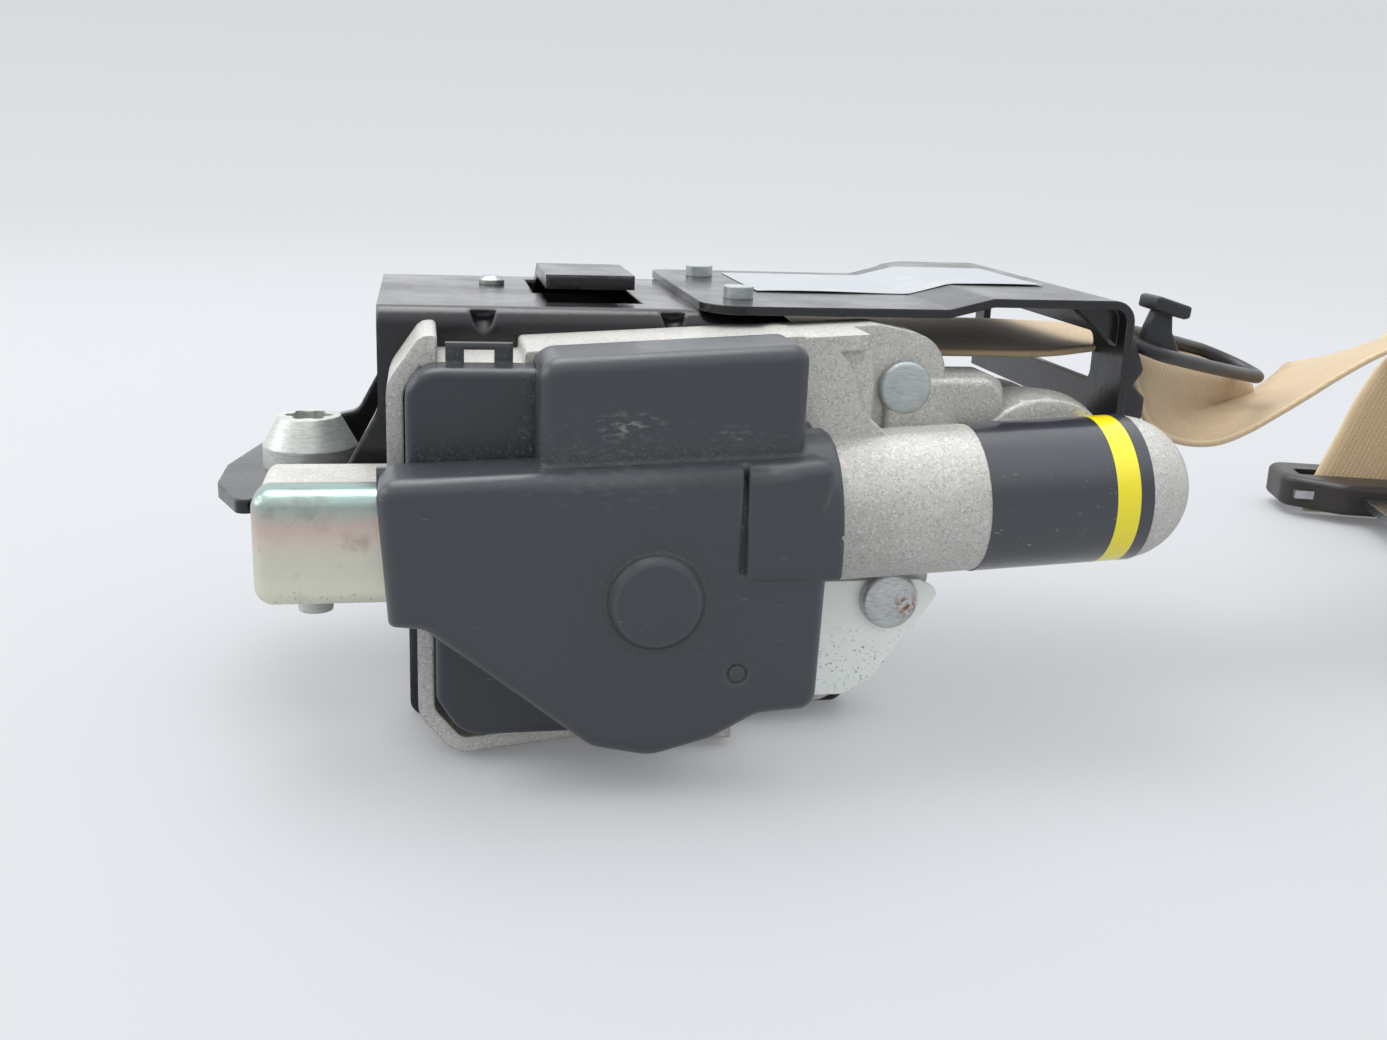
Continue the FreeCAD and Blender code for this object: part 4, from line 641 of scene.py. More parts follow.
@dataclass(frozen=True)
class TableTop(Finish):
    """Matt white acrylic table with a painted glow that lifts its shadows, and that melts into the pale room.

    Attributes:
        smudge: Colour of the smudges.
        glow: Colour of the painted glow, an emission that lightens the table's shadows.
        lit: Brightness of that painted glow.
        shade: Share of it that is left where the part stands on the table, which paints the contact shadow.
        fade_mm: Distances where the table starts to melt and where it has gone.
    """

    smudge: str = "#808386"
    glow: str = "#f6f8fb"
    lit: float = 0.42
    shade: float = 0.35
    fade_mm: tuple[float, float] = (320.0, 1500.0)

    def dress(self, tree: Tree, shader: Node) -> None:
        """Adds the smudges, the painted glow with its painted contact shadow, and the far fade.

        Args:
            tree: The node tree.
            shader: The surface's shader.
        """
        smudge = self.vary(tree, self.spots(tree, 60, 0.5, 0.8), 0, 0.12)
        tree.links.new(self.mixed(tree, smudge, self.colour, self.smudge), shader.inputs["Base Color"])
        shader.inputs["Specular IOR Level"].default_value = 0.2
        # Painted light: the table glows to lighten its shadows, and the glow is dimmed near the part to paint
        # its contact shadow.
        shader.inputs["Emission Color"].default_value = linear(self.glow)
        air = add_node(tree, "AmbientOcclusion", {"Distance": 16 * MM}, samples=6).outputs["AO"]
        glow = add_node(tree, "MapRange", {"Value": air, 1: 0.1, 2: 0.75, 3: self.shade * self.lit,
                                           4: self.lit})
        tree.links.new(glow.outputs["Result"], shader.inputs["Emission Strength"])
        away = add_node(tree, "VectorMath", {0: self.place(tree)}, operation="LENGTH").outputs["Value"]
        near, far = (distance * MM for distance in self.fade_mm)
        fade = add_node(tree, "MapRange", {"Value": away, 1: near, 2: far, 3: 0, 4: 1},
                        interpolation_type="SMOOTHSTEP").outputs["Result"]
        clear = add_node(tree, "BsdfTransparent").outputs[0]
        both = add_node(tree, "MixShader", {0: fade, 1: shader.outputs[0], 2: clear}).outputs[0]
        tree.links.new(both, tree.nodes["Material Output"].inputs["Surface"])


# Paint drawn over pressed steel: deep black, with a wide soft shine on its folds.
COAT = CoatedSteel("black dip-coated steel", "#141517", 0.2, soft_edge_mm=1.1)
PRESSED = CoatedSteel("black dip-coated bracket", "#17181a", 0.24)
# Polypropylene from a satin mould: a bluish black, painted lighter to stand in for the floor's reflected
# haze, with dust in its corners.
COVER = MouldedPlastic("moulded black polypropylene", "#2b3035", 0.3, soft_edge_mm=1.2, corner_dust=0.45)
FACE = MouldedPlastic("moulded black polypropylene, rubbed", "#353a3f", 0.3, soft_edge_mm=1.3,
                      corner_dust=0.5,
                      rubs_mm=((50.6, 24.0, 6.5, 0.55), (66.8, 22.6, 5.0, 0.4), (47.0, 19.0, 22.0, 0.12)))
# Nylon and acetal: a harder, closer shine than the covers'.
GUIDE = MouldedPlastic("moulded black nylon", "#1b1c1f", 0.36, soft_edge_mm=0.6, scuffs=0.25)
NATURAL = MouldedPlastic("moulded natural acetal", "#d8d3c4", 0.4, scuff="#a29d8f", scuffs=0.3)
BROWN = MouldedPlastic("moulded dark tongue body", "#26221f", 0.4, scuffs=0.35)
# Rubber: dull, with no highlight.
SEAL = MouldedPlastic("moulded rubber seal", "#1a1a1a", 0.7, scuffs=0.15)
# Blasted aluminium: a dry pale grey with painted glints on its grains, besides the sparkle where the light
# grazes it.
CASTING = DieCastAlloy("blasted die-cast aluminium", "#bfbdb7", 0.45, 0.35, 0.7)
# Zinc under a chromate film: mirror-like and tinted on the guard, dull and white on the plate.
FILM_ZINC = PassivatedZinc("passivated bright zinc", "#d4d8d2", 0.3, 0.85, 0.8)
PLATE_ZINC = PassivatedZinc("passivated zinc plate", "#dfe5df", 0.4, 0.1,
                            film=("#e9f0e9", "#f1f5f0", "#eff2ea"), bands_mm=(-30.0, -8.0), wander_mm=5.0,
                            pit_at_mm=(-14.0, -24.0), stain=0.08)
# Plated and bare steels: from the bolt's flat grey to the ball's mirror.
BOLT_ZINC = DullSteel("zinc-flake bolt", "#c3c7c1", 0.42, 0.5, streak="#8f948e")
ROD_ZINC = DullSteel("plated steel", "#b4b6b4", 0.35, 0.85)
RIVET = DullSteel("plated rivet steel, rusted", "#c8cccb", 0.36, 0.6, streak="#8d9190",
                  rust_at_mm=(103.4, -39.2, -12.2), rust_r_mm=3.0)
CLEAN_RIVET = DullSteel("plated rivet steel", "#b4bab9", 0.36, 0.6, streak="#8d9392")
HARD = DullSteel("hardened steel", "#7f807f", 0.32, 0.9, streak="#4d4e4e")
SPRING = DullSteel("blued spring steel", "#5f646b", 0.3, 0.9, streak="#3c4046")
BALL = DullSteel("ground bearing steel", "#c7c8c8", 0.12, 1.0, streak="#a9aaaa")
BLADE = DullSteel("polished tongue steel", "#b9babb", 0.22, 1.0, streak="#8f9091")
# Woven polyester: a matt tan with a silky sheen along its cords.
BELT = WovenWebbing("woven tan polyester webbing", "#bda684", 0.75)
# Film and paper: a clear gloss over dark print, and a plain dull white.
FILM = PrintedFilm("printed polyester film", "#2b2f35", 0.28, 0.0, 0.1)
PAPER = LabelPaper("coated label paper", "#9da1a4", 0.6)
# Acrylic: a painted glow that lightens the part's shadow but keeps a painted contact shadow round it.
TABLE = TableTop("white table with painted glow", "#797b7e", 0.6)

NODE_FINISH = {
    COAT: ("retractor_frame", "end_anchor"),
    PRESSED: ("belt_bracket",),
    FACE: ("front_cover",),
    COVER: ("gear_cover", "mechanism_cover", "spring_case", "spring_cover", "generator_connector"),
    GUIDE: ("belt_guide", "stop_button", "sensor_lever"),
    NATURAL: ("near_bush", "far_bush", "spring_arbor", "sensor_housing"),
    BROWN: ("tongue_body",),
    CASTING: ("pretensioner_housing", "spool"),
    FILM_ZINC: ("rack_guard",),
    PLATE_ZINC: ("base_plate",),
    BOLT_ZINC: ("anchor_bolt",),
    ROD_ZINC: ("tie_rods", "top_screw", "gas_generator", "generator_retainer", "pawl_pin", "cover_screws"),
    CLEAN_RIVET: ("bracket_rivets", "housing_rivets"),
    HARD: ("torsion_bar", "webbing_pin", "piston_rack", "drive_pinion", "clutch_rollers", "ratchet_wheel",
           "lock_pawl"),
    SPRING: ("mainspring",),
    BALL: ("sensor_ball",),
    BLADE: ("tongue_plate",),
    SEAL: ("piston_seal",),
}


# Shared making

class Hold(Enum):
    """How a run of webbing is held."""

    DRAPED = "draped"
    FOLDED = "folded"


class Axis(Enum):
    """The axis that a plate is thick along."""

    X = 0
    Y = 1


class Join(Enum):
    """What a second piece does to the first."""

    ADD = "UNION"
    CUT = "DIFFERENCE"


class Workshop:
    """What every sub-assembly uses: its finishes and the last steps of a piece."""

    def __init__(self) -> None:
        """Starts with no material made."""
        self.made: dict[Finish, bpy.types.Material] = {}

    def material(self, finish: Finish) -> bpy.types.Material:
        """The material of a finish, made once.

        Args:
            finish: The finish.

        Returns:
            Its material.
        """
        if finish not in self.made:
            self.made[finish] = finish.material()
        return self.made[finish]

    def dress_node(self, node: str, finish: Finish) -> None:
        """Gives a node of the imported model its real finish.

        Args:
            node: The node's name.
            finish: Its finish.
        """
        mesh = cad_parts[node].data
        mesh.materials.clear()
        mesh.materials.append(self.material(finish))
        LOG.info("node %s: %s", node, finish.name)

    def keep(self, piece: Piece, name: str, finish: Finish, slot: str, body: str = "retractor",
             replaces: tuple[str, ...] = ()) -> Piece:
        """Names, dresses and carries a finished piece.

        Args:
            piece: The piece, in its place.
            name: Its name.
            finish: Its finish.
            slot: The record's material slot. Not used.
            body: The body that it rides on.
            replaces: The nodes that it stands for.

        Returns:
            The piece.
        """
        piece.name = name
        piece.data.name = name
        piece.data.materials.clear()
        piece.data.materials.append(self.material(finish))
        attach(piece, body)
        if replaces:
            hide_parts(*replaces)
        LOG.info("piece %s: %s, %d faces", name, finish.name, len(piece.data.polygons))
        return piece


def only(piece: Piece) -> None:
    """Selects one object and makes it active.

    Args:
        piece: The object.
    """
    bpy.ops.object.select_all(action="DESELECT")
    piece.select_set(True)
    bpy.context.view_layer.objects.active = piece


def settle(piece: Piece) -> None:
    """Puts the piece's place, turn and size into its mesh."""
    only(piece)
    bpy.ops.object.transform_apply(location=True, rotation=True, scale=True)


def linked(name: str, mesh: bpy.types.Mesh) -> Piece:
    """Makes an object of a mesh in the scene's own collection.

    Args:
        name: The object's name.
        mesh: Its mesh.

    Returns:
        The object.
    """
    piece = bpy.data.objects.new(name, mesh)
    bpy.context.scene.collection.objects.link(piece)
    return piece


def face_outwards(piece: Piece) -> None:
    """Turns all of a piece's faces outwards.

    Args:
        piece: The piece.
    """
    only(piece)
    bpy.ops.object.mode_set(mode="EDIT")
    bpy.ops.mesh.select_all(action="SELECT")
    bpy.ops.mesh.normals_make_consistent(inside=False)
    bpy.ops.object.mode_set(mode="OBJECT")


def shade(piece: Piece, angle_deg: float) -> None:
    """Shades a piece smoothly, except over edges sharper than an angle."""
    only(piece)
    bpy.ops.object.shade_smooth_by_angle(angle=math.radians(angle_deg))


def bevelled(piece: Piece, width: float, segments: int = 3, limit_deg: float = 35.0) -> None:
    """Rounds a piece's sharp edges.

    Args:
        piece: The piece.
        width: Radius of the rounding.
        segments: Faces across it.
        limit_deg: Sharpest turn that stays as it is.
    """
    only(piece)
    edge = piece.modifiers.new("rounding", "BEVEL")
    edge.width = width
    edge.segments = segments
    edge.angle_limit = math.radians(limit_deg)
    bpy.ops.object.modifier_apply(modifier=edge.name)


def thickened(piece: Piece, thick: float, side: int) -> None:
    """Gives a skin its thickness.

    Args:
        piece: The skin.
        thick: Its thickness.
        side: 1 for outwards, 0 for half on each side.
    """
    only(piece)
    wall = piece.modifiers.new("wall", "SOLIDIFY")
    wall.thickness = thick
    wall.offset = side
    bpy.ops.object.modifier_apply(modifier=wall.name)


def merge_doubles(piece: Piece, reach: float, flat_deg: float = 0.0) -> None:
    """Merges corners that lie together, and joins faces that lie in one plane.

    Args:
        piece: The piece.
        reach: How near two corners are merged.
        flat_deg: Largest turn between faces that are joined, or 0 to join none.
    """
    only(piece)
    bpy.ops.object.mode_set(mode="EDIT")
    bpy.ops.mesh.select_all(action="SELECT")
    bpy.ops.mesh.remove_doubles(threshold=reach)
    if flat_deg:
        bpy.ops.mesh.dissolve_limited(angle_limit=math.radians(flat_deg))
    bpy.ops.object.mode_set(mode="OBJECT")


def even_faces(piece: Piece, angle_deg: float) -> None:
    """Shades curved faces smoothly and keeps the large flat ones flat.

    Args:
        piece: The piece.
        angle_deg: Sharpest turn that is shaded smoothly.
    """
    merge_doubles(piece, 0.005 * MM, 0.6)
    shade(piece, angle_deg)
    flat = piece.modifiers.new("flat faces", "WEIGHTED_NORMAL")
    flat.keep_sharp = True
    flat.weight = 100
    bpy.ops.object.modifier_apply(modifier=flat.name)


def plate(outline: Outline, axis: Axis, start: float, end: float, rounding: float = 0.0) -> Piece:
    """Makes a plate by filling an outline and extruding it.

    Args:
        outline: The outline's points, in millimetres. They are y and z for an x plate, x and z for a y plate.
        axis: Axis of its thickness.
        start: Where it starts on that axis, in millimetres.
        end: Where it ends.
        rounding: Radius of its edges, in millimetres, or 0 for sharp ones.

    Returns:
        The plate, with its place in its mesh.
    """
    bpy.ops.object.select_all(action="DESELECT")
    bpy.ops.mesh.primitive_circle_add(vertices=len(outline), radius=1, fill_type="NGON")
    piece = bpy.context.object
    for vertex, (a, b) in zip(piece.data.vertices, outline):
        vertex.co = Vector((start, a, b) if axis is Axis.X else (a, start, b)) * MM
    move = [0.0, 0.0, 0.0]
    move[axis.value] = (end - start) * MM
    bpy.ops.object.mode_set(mode="EDIT")
    bpy.ops.mesh.select_all(action="SELECT")
    bpy.ops.mesh.extrude_region_move(TRANSFORM_OT_translate={"value": move})
    bpy.ops.object.mode_set(mode="OBJECT")
    face_outwards(piece)
    if rounding:
        bevelled(piece, rounding * MM)
    return piece


def copy_node(node: str) -> Piece:
    """Copies a node's mesh with its corners merged.

    Args:
        node: The node's name.

    Returns:
        The copy, which can be worked on.
    """
    piece = linked(f"{node}_copy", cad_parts[node].data.copy())
    merge_doubles(piece, 0.002 * MM)
    return piece


def merge(piece: Piece, tool: Piece, how: Join) -> None:
    """Adds a second piece to a piece or cuts it away, and removes the second one.

    Args:
        piece: The piece that stays.
        tool: The second piece.
        how: Whether it is added or cut away.
    """
    only(piece)
    step = piece.modifiers.new("merge", "BOOLEAN")
    step.operation = how.value
    step.object = tool
    step.solver = "EXACT"
    bpy.ops.object.modifier_apply(modifier=step.name)
    bpy.data.objects.remove(tool, do_unlink=True)


def smooth(points: list[Vector]) -> list[Vector]:
    """Fills a smooth line through given points.

    Args:
        points: The points.

    Returns:
        The points of the line, the given ones among them.
    """
    ends = [2 * points[0] - points[1], *points, 2 * points[-1] - points[-2]]
    line = []
    for a, b, c, d in zip(ends, ends[1:], ends[2:], ends[3:]):
        for step in range(SMOOTH_STEPS):
            t = step / SMOOTH_STEPS
            line.append(0.5 * (2 * b + (c - a) * t + (2 * a - 5 * b + 4 * c - d) * t * t
                               + (3 * b - a - 3 * c + d) * t * t * t))
    return [*line, points[-1].copy()]


@dataclass
class Ribbon:
    """Flat webbing that follows two edges.

    Attributes:
        width: Its width.
        thick: Its thickness.
        spans: Faces across it.
        edge: Width of the firm woven edge.
        table_z: Height of the table that it can't sink below.
        length: Its length, once it is built.
    """

    width: float = 47.0 * MM
    thick: float = 1.15 * MM
    spans: int = 12
    edge: float = 0.5 * MM
    table_z: float = -34.95 * MM
    length: float = 0.0

    def section(self) -> list[tuple[float, float]]:
        """The cut through the webbing.

        Returns:
            Points as a share of the width and a height, once round.
        """
        rim = self.edge / self.width
        shares = [rim + (1 - 2 * rim) * k / self.spans for k in range(self.spans + 1)]
        top = [(u, self.thick / 2) for u in shares]
        low = [(u, -self.thick / 2) for u in reversed(shares)]
        return [(0, 0.0), *top, (1, 0.0), *low]

    def build(self, near: list[Vector], far: list[Vector]) -> Piece:
        """Makes the webbing as one closed mesh with its own map.

        Args:
            near: Points of one edge.
            far: The other edge's points, one for each.

        Returns:
            The piece.
        """
        section = self.section()
        rings, places = [], []
        made = bmesh.new()
        for k, (a, b) in enumerate(zip(near, far)):
            before, after = max(k - 1, 0), min(k + 1, len(near) - 1)
            travel = (near[after] + far[after]) - (near[before] + far[before])
            up = travel.cross(b - a).normalized()
            if k:
                self.length += ((a + b) / 2 - (near[k - 1] + far[k - 1]) / 2).length
            ring = [a.lerp(b, u) + up * h for u, h in section]
            for point in ring:
                point.z = max(point.z, self.table_z)
            rings.append([made.verts.new(point) for point in ring])
            places.append(self.length)
        layer = made.loops.layers.uv.new("Webbing")
        for k in range(len(rings) - 1):
            for i in range(len(section)):
                j = (i + 1) % len(section)
                face = made.faces.new([rings[k][i], rings[k][j], rings[k + 1][j], rings[k + 1][i]])
                corners = ((i, k), (j, k), (j, k + 1), (i, k + 1))
                for loop, (across, along) in zip(face.loops, corners):
                    loop[layer].uv = (section[across][0] * self.width, places[along])
                face.smooth = True
        for ring in (rings[0], rings[-1]):
            made.faces.new(ring)
        bmesh.ops.recalc_face_normals(made, faces=made.faces)
        mesh = bpy.data.meshes.new("webbing")
        made.to_mesh(mesh)
        made.free()
        return linked("webbing", mesh)


# Sub-assemblies

# Stations of the webbing: one edge's point in millimetres, and the direction across it.
ROUTE: Stations = [
    ((54.6, -23.5, 29.5), (0, 1, 0)), ((97.5, -22.6, 29.5), (0, 1, 0)),
    ((114.0, -20.6, 29.3), (0.04, 1, 0)), ((132.0, -20.2, 29.2), (0.22, 0.97, 0)),
    ((141.0, -20.6, 30.2), (0.50, 0.86, -0.04)), ((146.0, -21.0, 31.0), (0.72, 0.68, -0.12)),
    ((149.6, -20.6, 29.0), (0.82, 0.55, -0.16)), ((152.6, -19.6, 23.0), (0.82, 0.55, -0.13)),
    ((156.0, -18.2, 16.6), (0.80, 0.58, -0.02)), ((160.5, -17.6, 13.2), (0.78, 0.62, 0.08)),
    ((166.5, -17.0, 11.4), (0.74, 0.66, 0.14)), ((173.0, -16.6, 11.4), (0.69, 0.71, 0.16)),
    ((179.5, -16.2, 13.6), (0.63, 0.76, 0.13)), ((186.0, -16.0, 17.2), (0.58, 0.81, 0.06)),
    ((192.5, -16.0, 21.2), (0.53, 0.84, -0.01)), ((199.5, -16.0, 25.6), (0.46, 0.88, -0.09)),
    ((208.0, -16.0, 30.0), (0.37, 0.90, -0.17)), ((222.0, -15.5, 35.0), (0.21, 0.94, -0.25)),
    ((240.0, -12.0, 38.0), (0.01, 0.95, -0.29)), ((262.0, -2.0, 39.6), (-0.22, 0.92, -0.30)),
    ((283.0, 14.0, 40.4), (-0.44, 0.87, -0.22)), ((303.0, 34.0, 40.4), (-0.62, 0.77, -0.11)),
    ((320.0, 54.0, 39.5), (-0.76, 0.64, -0.04)), ((335.0, 71.5, 35.0), (-0.87, 0.49, 0.0)),
    ((344.0, 82.5, 27.0), (-0.92, 0.38, 0.0)), ((348.0, 88.5, 17.0), (-0.954, 0.301, 0)),
    ((346.0, 90.4, 8.0), (-0.954, 0.301, 0)), ((340.6, 89.0, -2.0), (-0.954, 0.301, 0)),
    ((335.2, 87.4, -12.0), (-0.954, 0.301, 0)), ((329.8, 85.8, -22.0), (-0.954, 0.301, 0)),
    ((324.9, 84.4, -31.0), (-0.954, 0.301, 0)), ((324.0, 84.1, -32.8), (-0.954, 0.301, 0))]
LAP: Stations = [
    ((276.0, 99.2, -34.35), (0.954, -0.301, 0)), ((283.0, 106.0, -34.2), (0.954, -0.301, 0)),
    ((295.0, 114.0, -31.0), (0.93, -0.36, 0.04)), ((309.0, 122.0, -24.0), (0.86, -0.5, 0.1)),
    ((325.0, 131.0, -19.0), (0.7, -0.7, 0.1)), ((340.0, 139.0, -21.0), (0.45, -0.89, 0.05)),
    ((350.0, 143.5, -27.0), (0.22, -0.97, 0)), ((357.0, 145.0, -32.0), (0.08, -0.995, 0)),
    ((364.0, 145.5, -34.2), (0, -1, 0)), ((371.0, 145.5, -34.35), (0, -1, 0))]


@dataclass
class Webbing:
    """The belt: its coil on the spool, its free run, the fold on the table and the sewn end.

    Attributes:
        shop: The workshop.
        width: Width of the webbing.
        most_skew: Least sine of the angle between the webbing's run and the direction across it.
        spool: Middle of the spool, x and z.
        core_r: Radius that the first turn lies on.
        coil_r: Radius of the last turn.
        pitch: Distance between turns.
        turn_steps: Faces round one turn.
        bar: Middle of the end fitting's bar, x and z.
        bar_r: Radius that the webbing takes round the bar.
        wrap_deg: How far it goes round the bar.
        wrap_steps: Faces round it.
        sewn_steps: Steps that the sewn end reaches back.
        lift: Height of the sewn end over the webbing.
    """

    shop: Workshop
    width: float = 47.0 * MM
    most_skew: float = 0.88
    spool: tuple[float, float] = (54.6 * MM, -1.8 * MM)
    core_r: float = 11.7 * MM
    coil_r: float = 29.7 * MM
    pitch: float = 1.2 * MM
    turn_steps: int = 48
    bar: tuple[float, float] = (376.0 * MM, -31.0 * MM)
    bar_r: float = 3.35 * MM
    wrap_deg: float = 235.0
    wrap_steps: int = 16
    sewn_steps: int = 20
    lift: float = 1.35 * MM

    def edges(self, route: Stations) -> tuple[list[Vector], list[Vector]]:
        """The two edges of a run of webbing.

        Args:
            route: The run's stations.

        Returns:
            The points of both edges, in metres.
        """
        near = [Vector(point) * MM for point, _ in route]
        far = []
        for k, (_, across) in enumerate(route):
            travel = near[min(k + 1, len(near) - 1)] - near[max(k - 1, 0)]
            side = Vector(across).normalized()
            skew = max(travel.normalized().cross(side).length, self.most_skew)
            far.append(near[k] + side * (self.width / skew))
        return near, far

    def lay(self, ribbon: Ribbon, edges: tuple[list[Vector], list[Vector]], name: str,
            replaces: tuple[str, ...], body: str = "retractor") -> None:
        """Args:
            ribbon: The webbing.
            edges: The points of its two edges.
            name: Its name.
            replaces: The nodes that it stands for.
            body: The body that it rides on.
        """
        piece = self.shop.keep(ribbon.build(*edges), name, BELT, "webbing", body, replaces)
        LOG.info("%s: %.3f m of webbing", name, ribbon.length)

    def build_coil(self) -> None:
        """The webbing wound on the spool, as one long spiral."""
        turns = (self.coil_r - self.core_r) / self.pitch
        steps = int(turns * self.turn_steps)
        near, far = [], []
        for k in range(steps + 1):
            radius = self.core_r + (self.coil_r - self.core_r) * k / steps
            angle = math.pi / 2 + 2 * math.pi * turns * (1 - k / steps)
            x = self.spool[0] + radius * math.cos(angle)
            z = self.spool[1] + radius * math.sin(angle)
            near.append(Vector((x, -self.width / 2, z)))
            far.append(Vector((x, self.width / 2, z)))
        self.lay(Ribbon(thick=1.1 * MM, spans=2), (near, far), "webbing_coil",
                 ("webbing_roll",), "spool")

    def build_run(self) -> None:
        """The free run, from the coil through the guide and the tongue, and the lap to the end fitting."""
        near, far = self.edges(ROUTE)
        self.lay(Ribbon(), (smooth(near), smooth(far)), "webbing_run",
                 ("belt_strap",))
        far_lap, near_lap = self.edges(LAP)
        lap = self.loop_round_bar(smooth(near_lap), smooth(far_lap))
        self.lay(Ribbon(), lap, "webbing_lap", ("lap_strap", "strap_end_loop"))

    def loop_round_bar(self, near: list[Vector], far: list[Vector]) -> tuple[list[Vector], list[Vector]]:
        """Carries the lap webbing round the end fitting's bar and back over itself.

        Args:
            near: One edge's line, to the bar.
            far: The other edge's line.

        Returns:
            Both edges, with the loop.
        """
        line_near, line_far = list(near), list(far)
        for step in range(1, self.wrap_steps + 1):
            angle = math.radians(-90 + self.wrap_deg * step / self.wrap_steps)
            x = self.bar[0] + self.bar_r * math.cos(angle)
            z = self.bar[1] + self.bar_r * math.sin(angle)
            line_near.append(Vector((x, near[-1].y, z)))
            line_far.append(Vector((x, far[-1].y, z)))
        for back in range(2, 2 + self.sewn_steps):
            a, b = near[-back], far[-back]
            travel = (near[-back - 1] + far[-back - 1]) - (a + b)
            up = (b - a).cross(travel).normalized()
            up = up if up.z > 0 else -up
            line_near.append(a + up * self.lift)
            line_far.append(b + up * self.lift)
        return line_near, line_far


@dataclass
class FrontCover:
    """The front cover with its half shell over the tube, the groove beside it and its chewed edges.

    Attributes:
        shop: The workshop.
        shell: Where the half shell starts and ends along the part, in millimetres.
        groove: Width of the groove at its left, in millimetres.
        chips: Chewed spots of the edge, each as x, z and radius, in millimetres.
        edge_y: Where that edge is, in millimetres.
        chip_shape: How far a chip is stretched along x, y and z.
        reach: How far the groove's cut reaches into the shell, in millimetres.
    """

    shop: Workshop
    shell: tuple[float, float] = (68.3, 83.4)
    groove: float = 1.0
    chips: tuple[Triple, ...] = ((83.3, 7.6, 0.7), (46.0, -27.2, 0.9), (37.9, -22.9, 0.5))
    edge_y: float = -64.6
    chip_shape: Triple = (1.0, 2.4, 0.8)
    reach: float = 0.05

    def build(self) -> None:
        """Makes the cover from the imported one."""
        cover = copy_node("front_cover")
        arc = [(-49.0, 21.6), (-53.5, 21.6), (-57.0, 20.6), (-60.2, 18.4), (-62.6, 15.4), (-64.2, 11.8),
               (-65.0, 8.0), (-65.2, 4.0), (-65.0, 1.4), (-64.2, 0.6), (-62.6, 0.6), (-62.6, 8.0),
               (-60.0, 14.5), (-56.0, 18.4), (-49.0, 19.0)]
        shell = plate(arc, Axis.X, *self.shell, rounding=0.7)
        slot = plate([(-70.0, 2.0), (-70.0, 24.0), (-60.5, 24.0), (-62.4, 18.0), (-63.2, 12.0),
                      (-63.6, 2.0)], Axis.X, self.shell[0] - self.groove, self.shell[0] + self.reach)
        merge(cover, slot, Join.CUT)
        merge(cover, shell, Join.ADD)
        for x, z, radius in self.chips:
            bpy.ops.object.select_all(action="DESELECT")
            bpy.ops.mesh.primitive_ico_sphere_add(subdivisions=2, radius=radius * MM,
                                                  location=(x * MM, self.edge_y * MM, z * MM))
            chip = bpy.context.object
            chip.scale = self.chip_shape
            settle(chip)
            merge(cover, chip, Join.CUT)
        even_faces(cover, 28)
        self.shop.keep(cover, "front_cover_shell", FACE, "black_plastic", replaces=("front_cover",))


@dataclass
class HousingCasting:
    """The pretensioner housing with the web that runs from its round boss down to the tube.

    Attributes:
        shop: The workshop.
        face: The web's front face, in millimetres.
    """

    shop: Workshop
    face: float = -45.6

    def build(self) -> None:
        """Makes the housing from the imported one. The web ends in the tube's wall, clear of its bore."""
        casting = copy_node("pretensioner_housing")
        shoulder = plate([(80.0, 20.0), (80.0, 35.7), (88.0, 35.6), (93.0, 33.4), (94.0, 28.0),
                          (94.0, 20.0)], Axis.Y, -43.0, -34.0, rounding=1.6)
        web = plate([(76.0, 17.0), (76.0, 33.4), (81.0, 34.4), (85.6, 32.6), (88.4, 29.6), (90.2, 25.6),
                     (92.4, 22.4), (95.6, 19.6), (98.6, 17.6), (98.6, 17.0)], Axis.Y, self.face, -37.0,
                    rounding=0.9)
        lug = plate([(97.6, 16.6), (97.6, 27.6), (116.4, 27.6), (118.8, 25.4), (119.2, 22.6), (117.4, 19.6),
                     (113.0, 17.6)], Axis.Y, -37.6, -27.6, rounding=1.4)
        for form in (shoulder, web, lug):
            merge(casting, form, Join.ADD)
        even_faces(casting, 28)
        self.shop.keep(casting, "housing_casting", CASTING, "die_cast", replaces=("pretensioner_housing",))


@dataclass
class Rivet:
    """A rivet with a low domed head, which holds the housing.

    Attributes:
        shop: The workshop.
        name: Its name.
        at: Its middle, x and z, in millimetres.
        head_r: Radius of its head.
        seat: Where the head lies on the part.
        rise: How far it stands out.
        finish: Its finish.
        shank_r: Radius of its shank.
        back: Where the shank ends.
    """

    shop: Workshop
    name: str
    at: tuple[float, float]
    head_r: float
    seat: float
    rise: float
    finish: Finish
    shank_r: float = 2.9
    back: float = -24.8

    def build(self) -> None:
        """Makes the rivet, from its shank's end out to the crown of its head."""
        bpy.ops.object.select_all(action="DESELECT")
        centre = Vector((self.at[0], self.back, self.at[1])) * MM
        bpy.ops.mesh.primitive_circle_add(vertices=48, radius=self.shank_r * MM, fill_type="NGON",
                                          rotation=(math.pi / 2, 0, 0), location=centre)
        piece = bpy.context.object
        settle(piece)
        steps = ((self.seat - self.back, 1.0), (0.0, self.head_r / self.shank_r), (-0.72 * self.rise, 1.0),
                 (-0.2 * self.rise, 0.9), (-0.08 * self.rise, 0.6))
        bpy.ops.object.mode_set(mode="EDIT")
        bpy.ops.mesh.select_all(action="SELECT")
        for move, grow in steps:
            bpy.ops.mesh.extrude_region_move(TRANSFORM_OT_translate={"value": (0, move * MM, 0)})
            bpy.ops.transform.resize(value=(grow, 1, grow), center_override=centre)
        bpy.ops.object.mode_set(mode="OBJECT")
        face_outwards(piece)
        bevelled(piece, 0.18 * MM, 2)
        shade(piece, 30)
        self.shop.keep(piece, self.name, self.finish, "rivet_steel", replaces=("housing_rivets",))


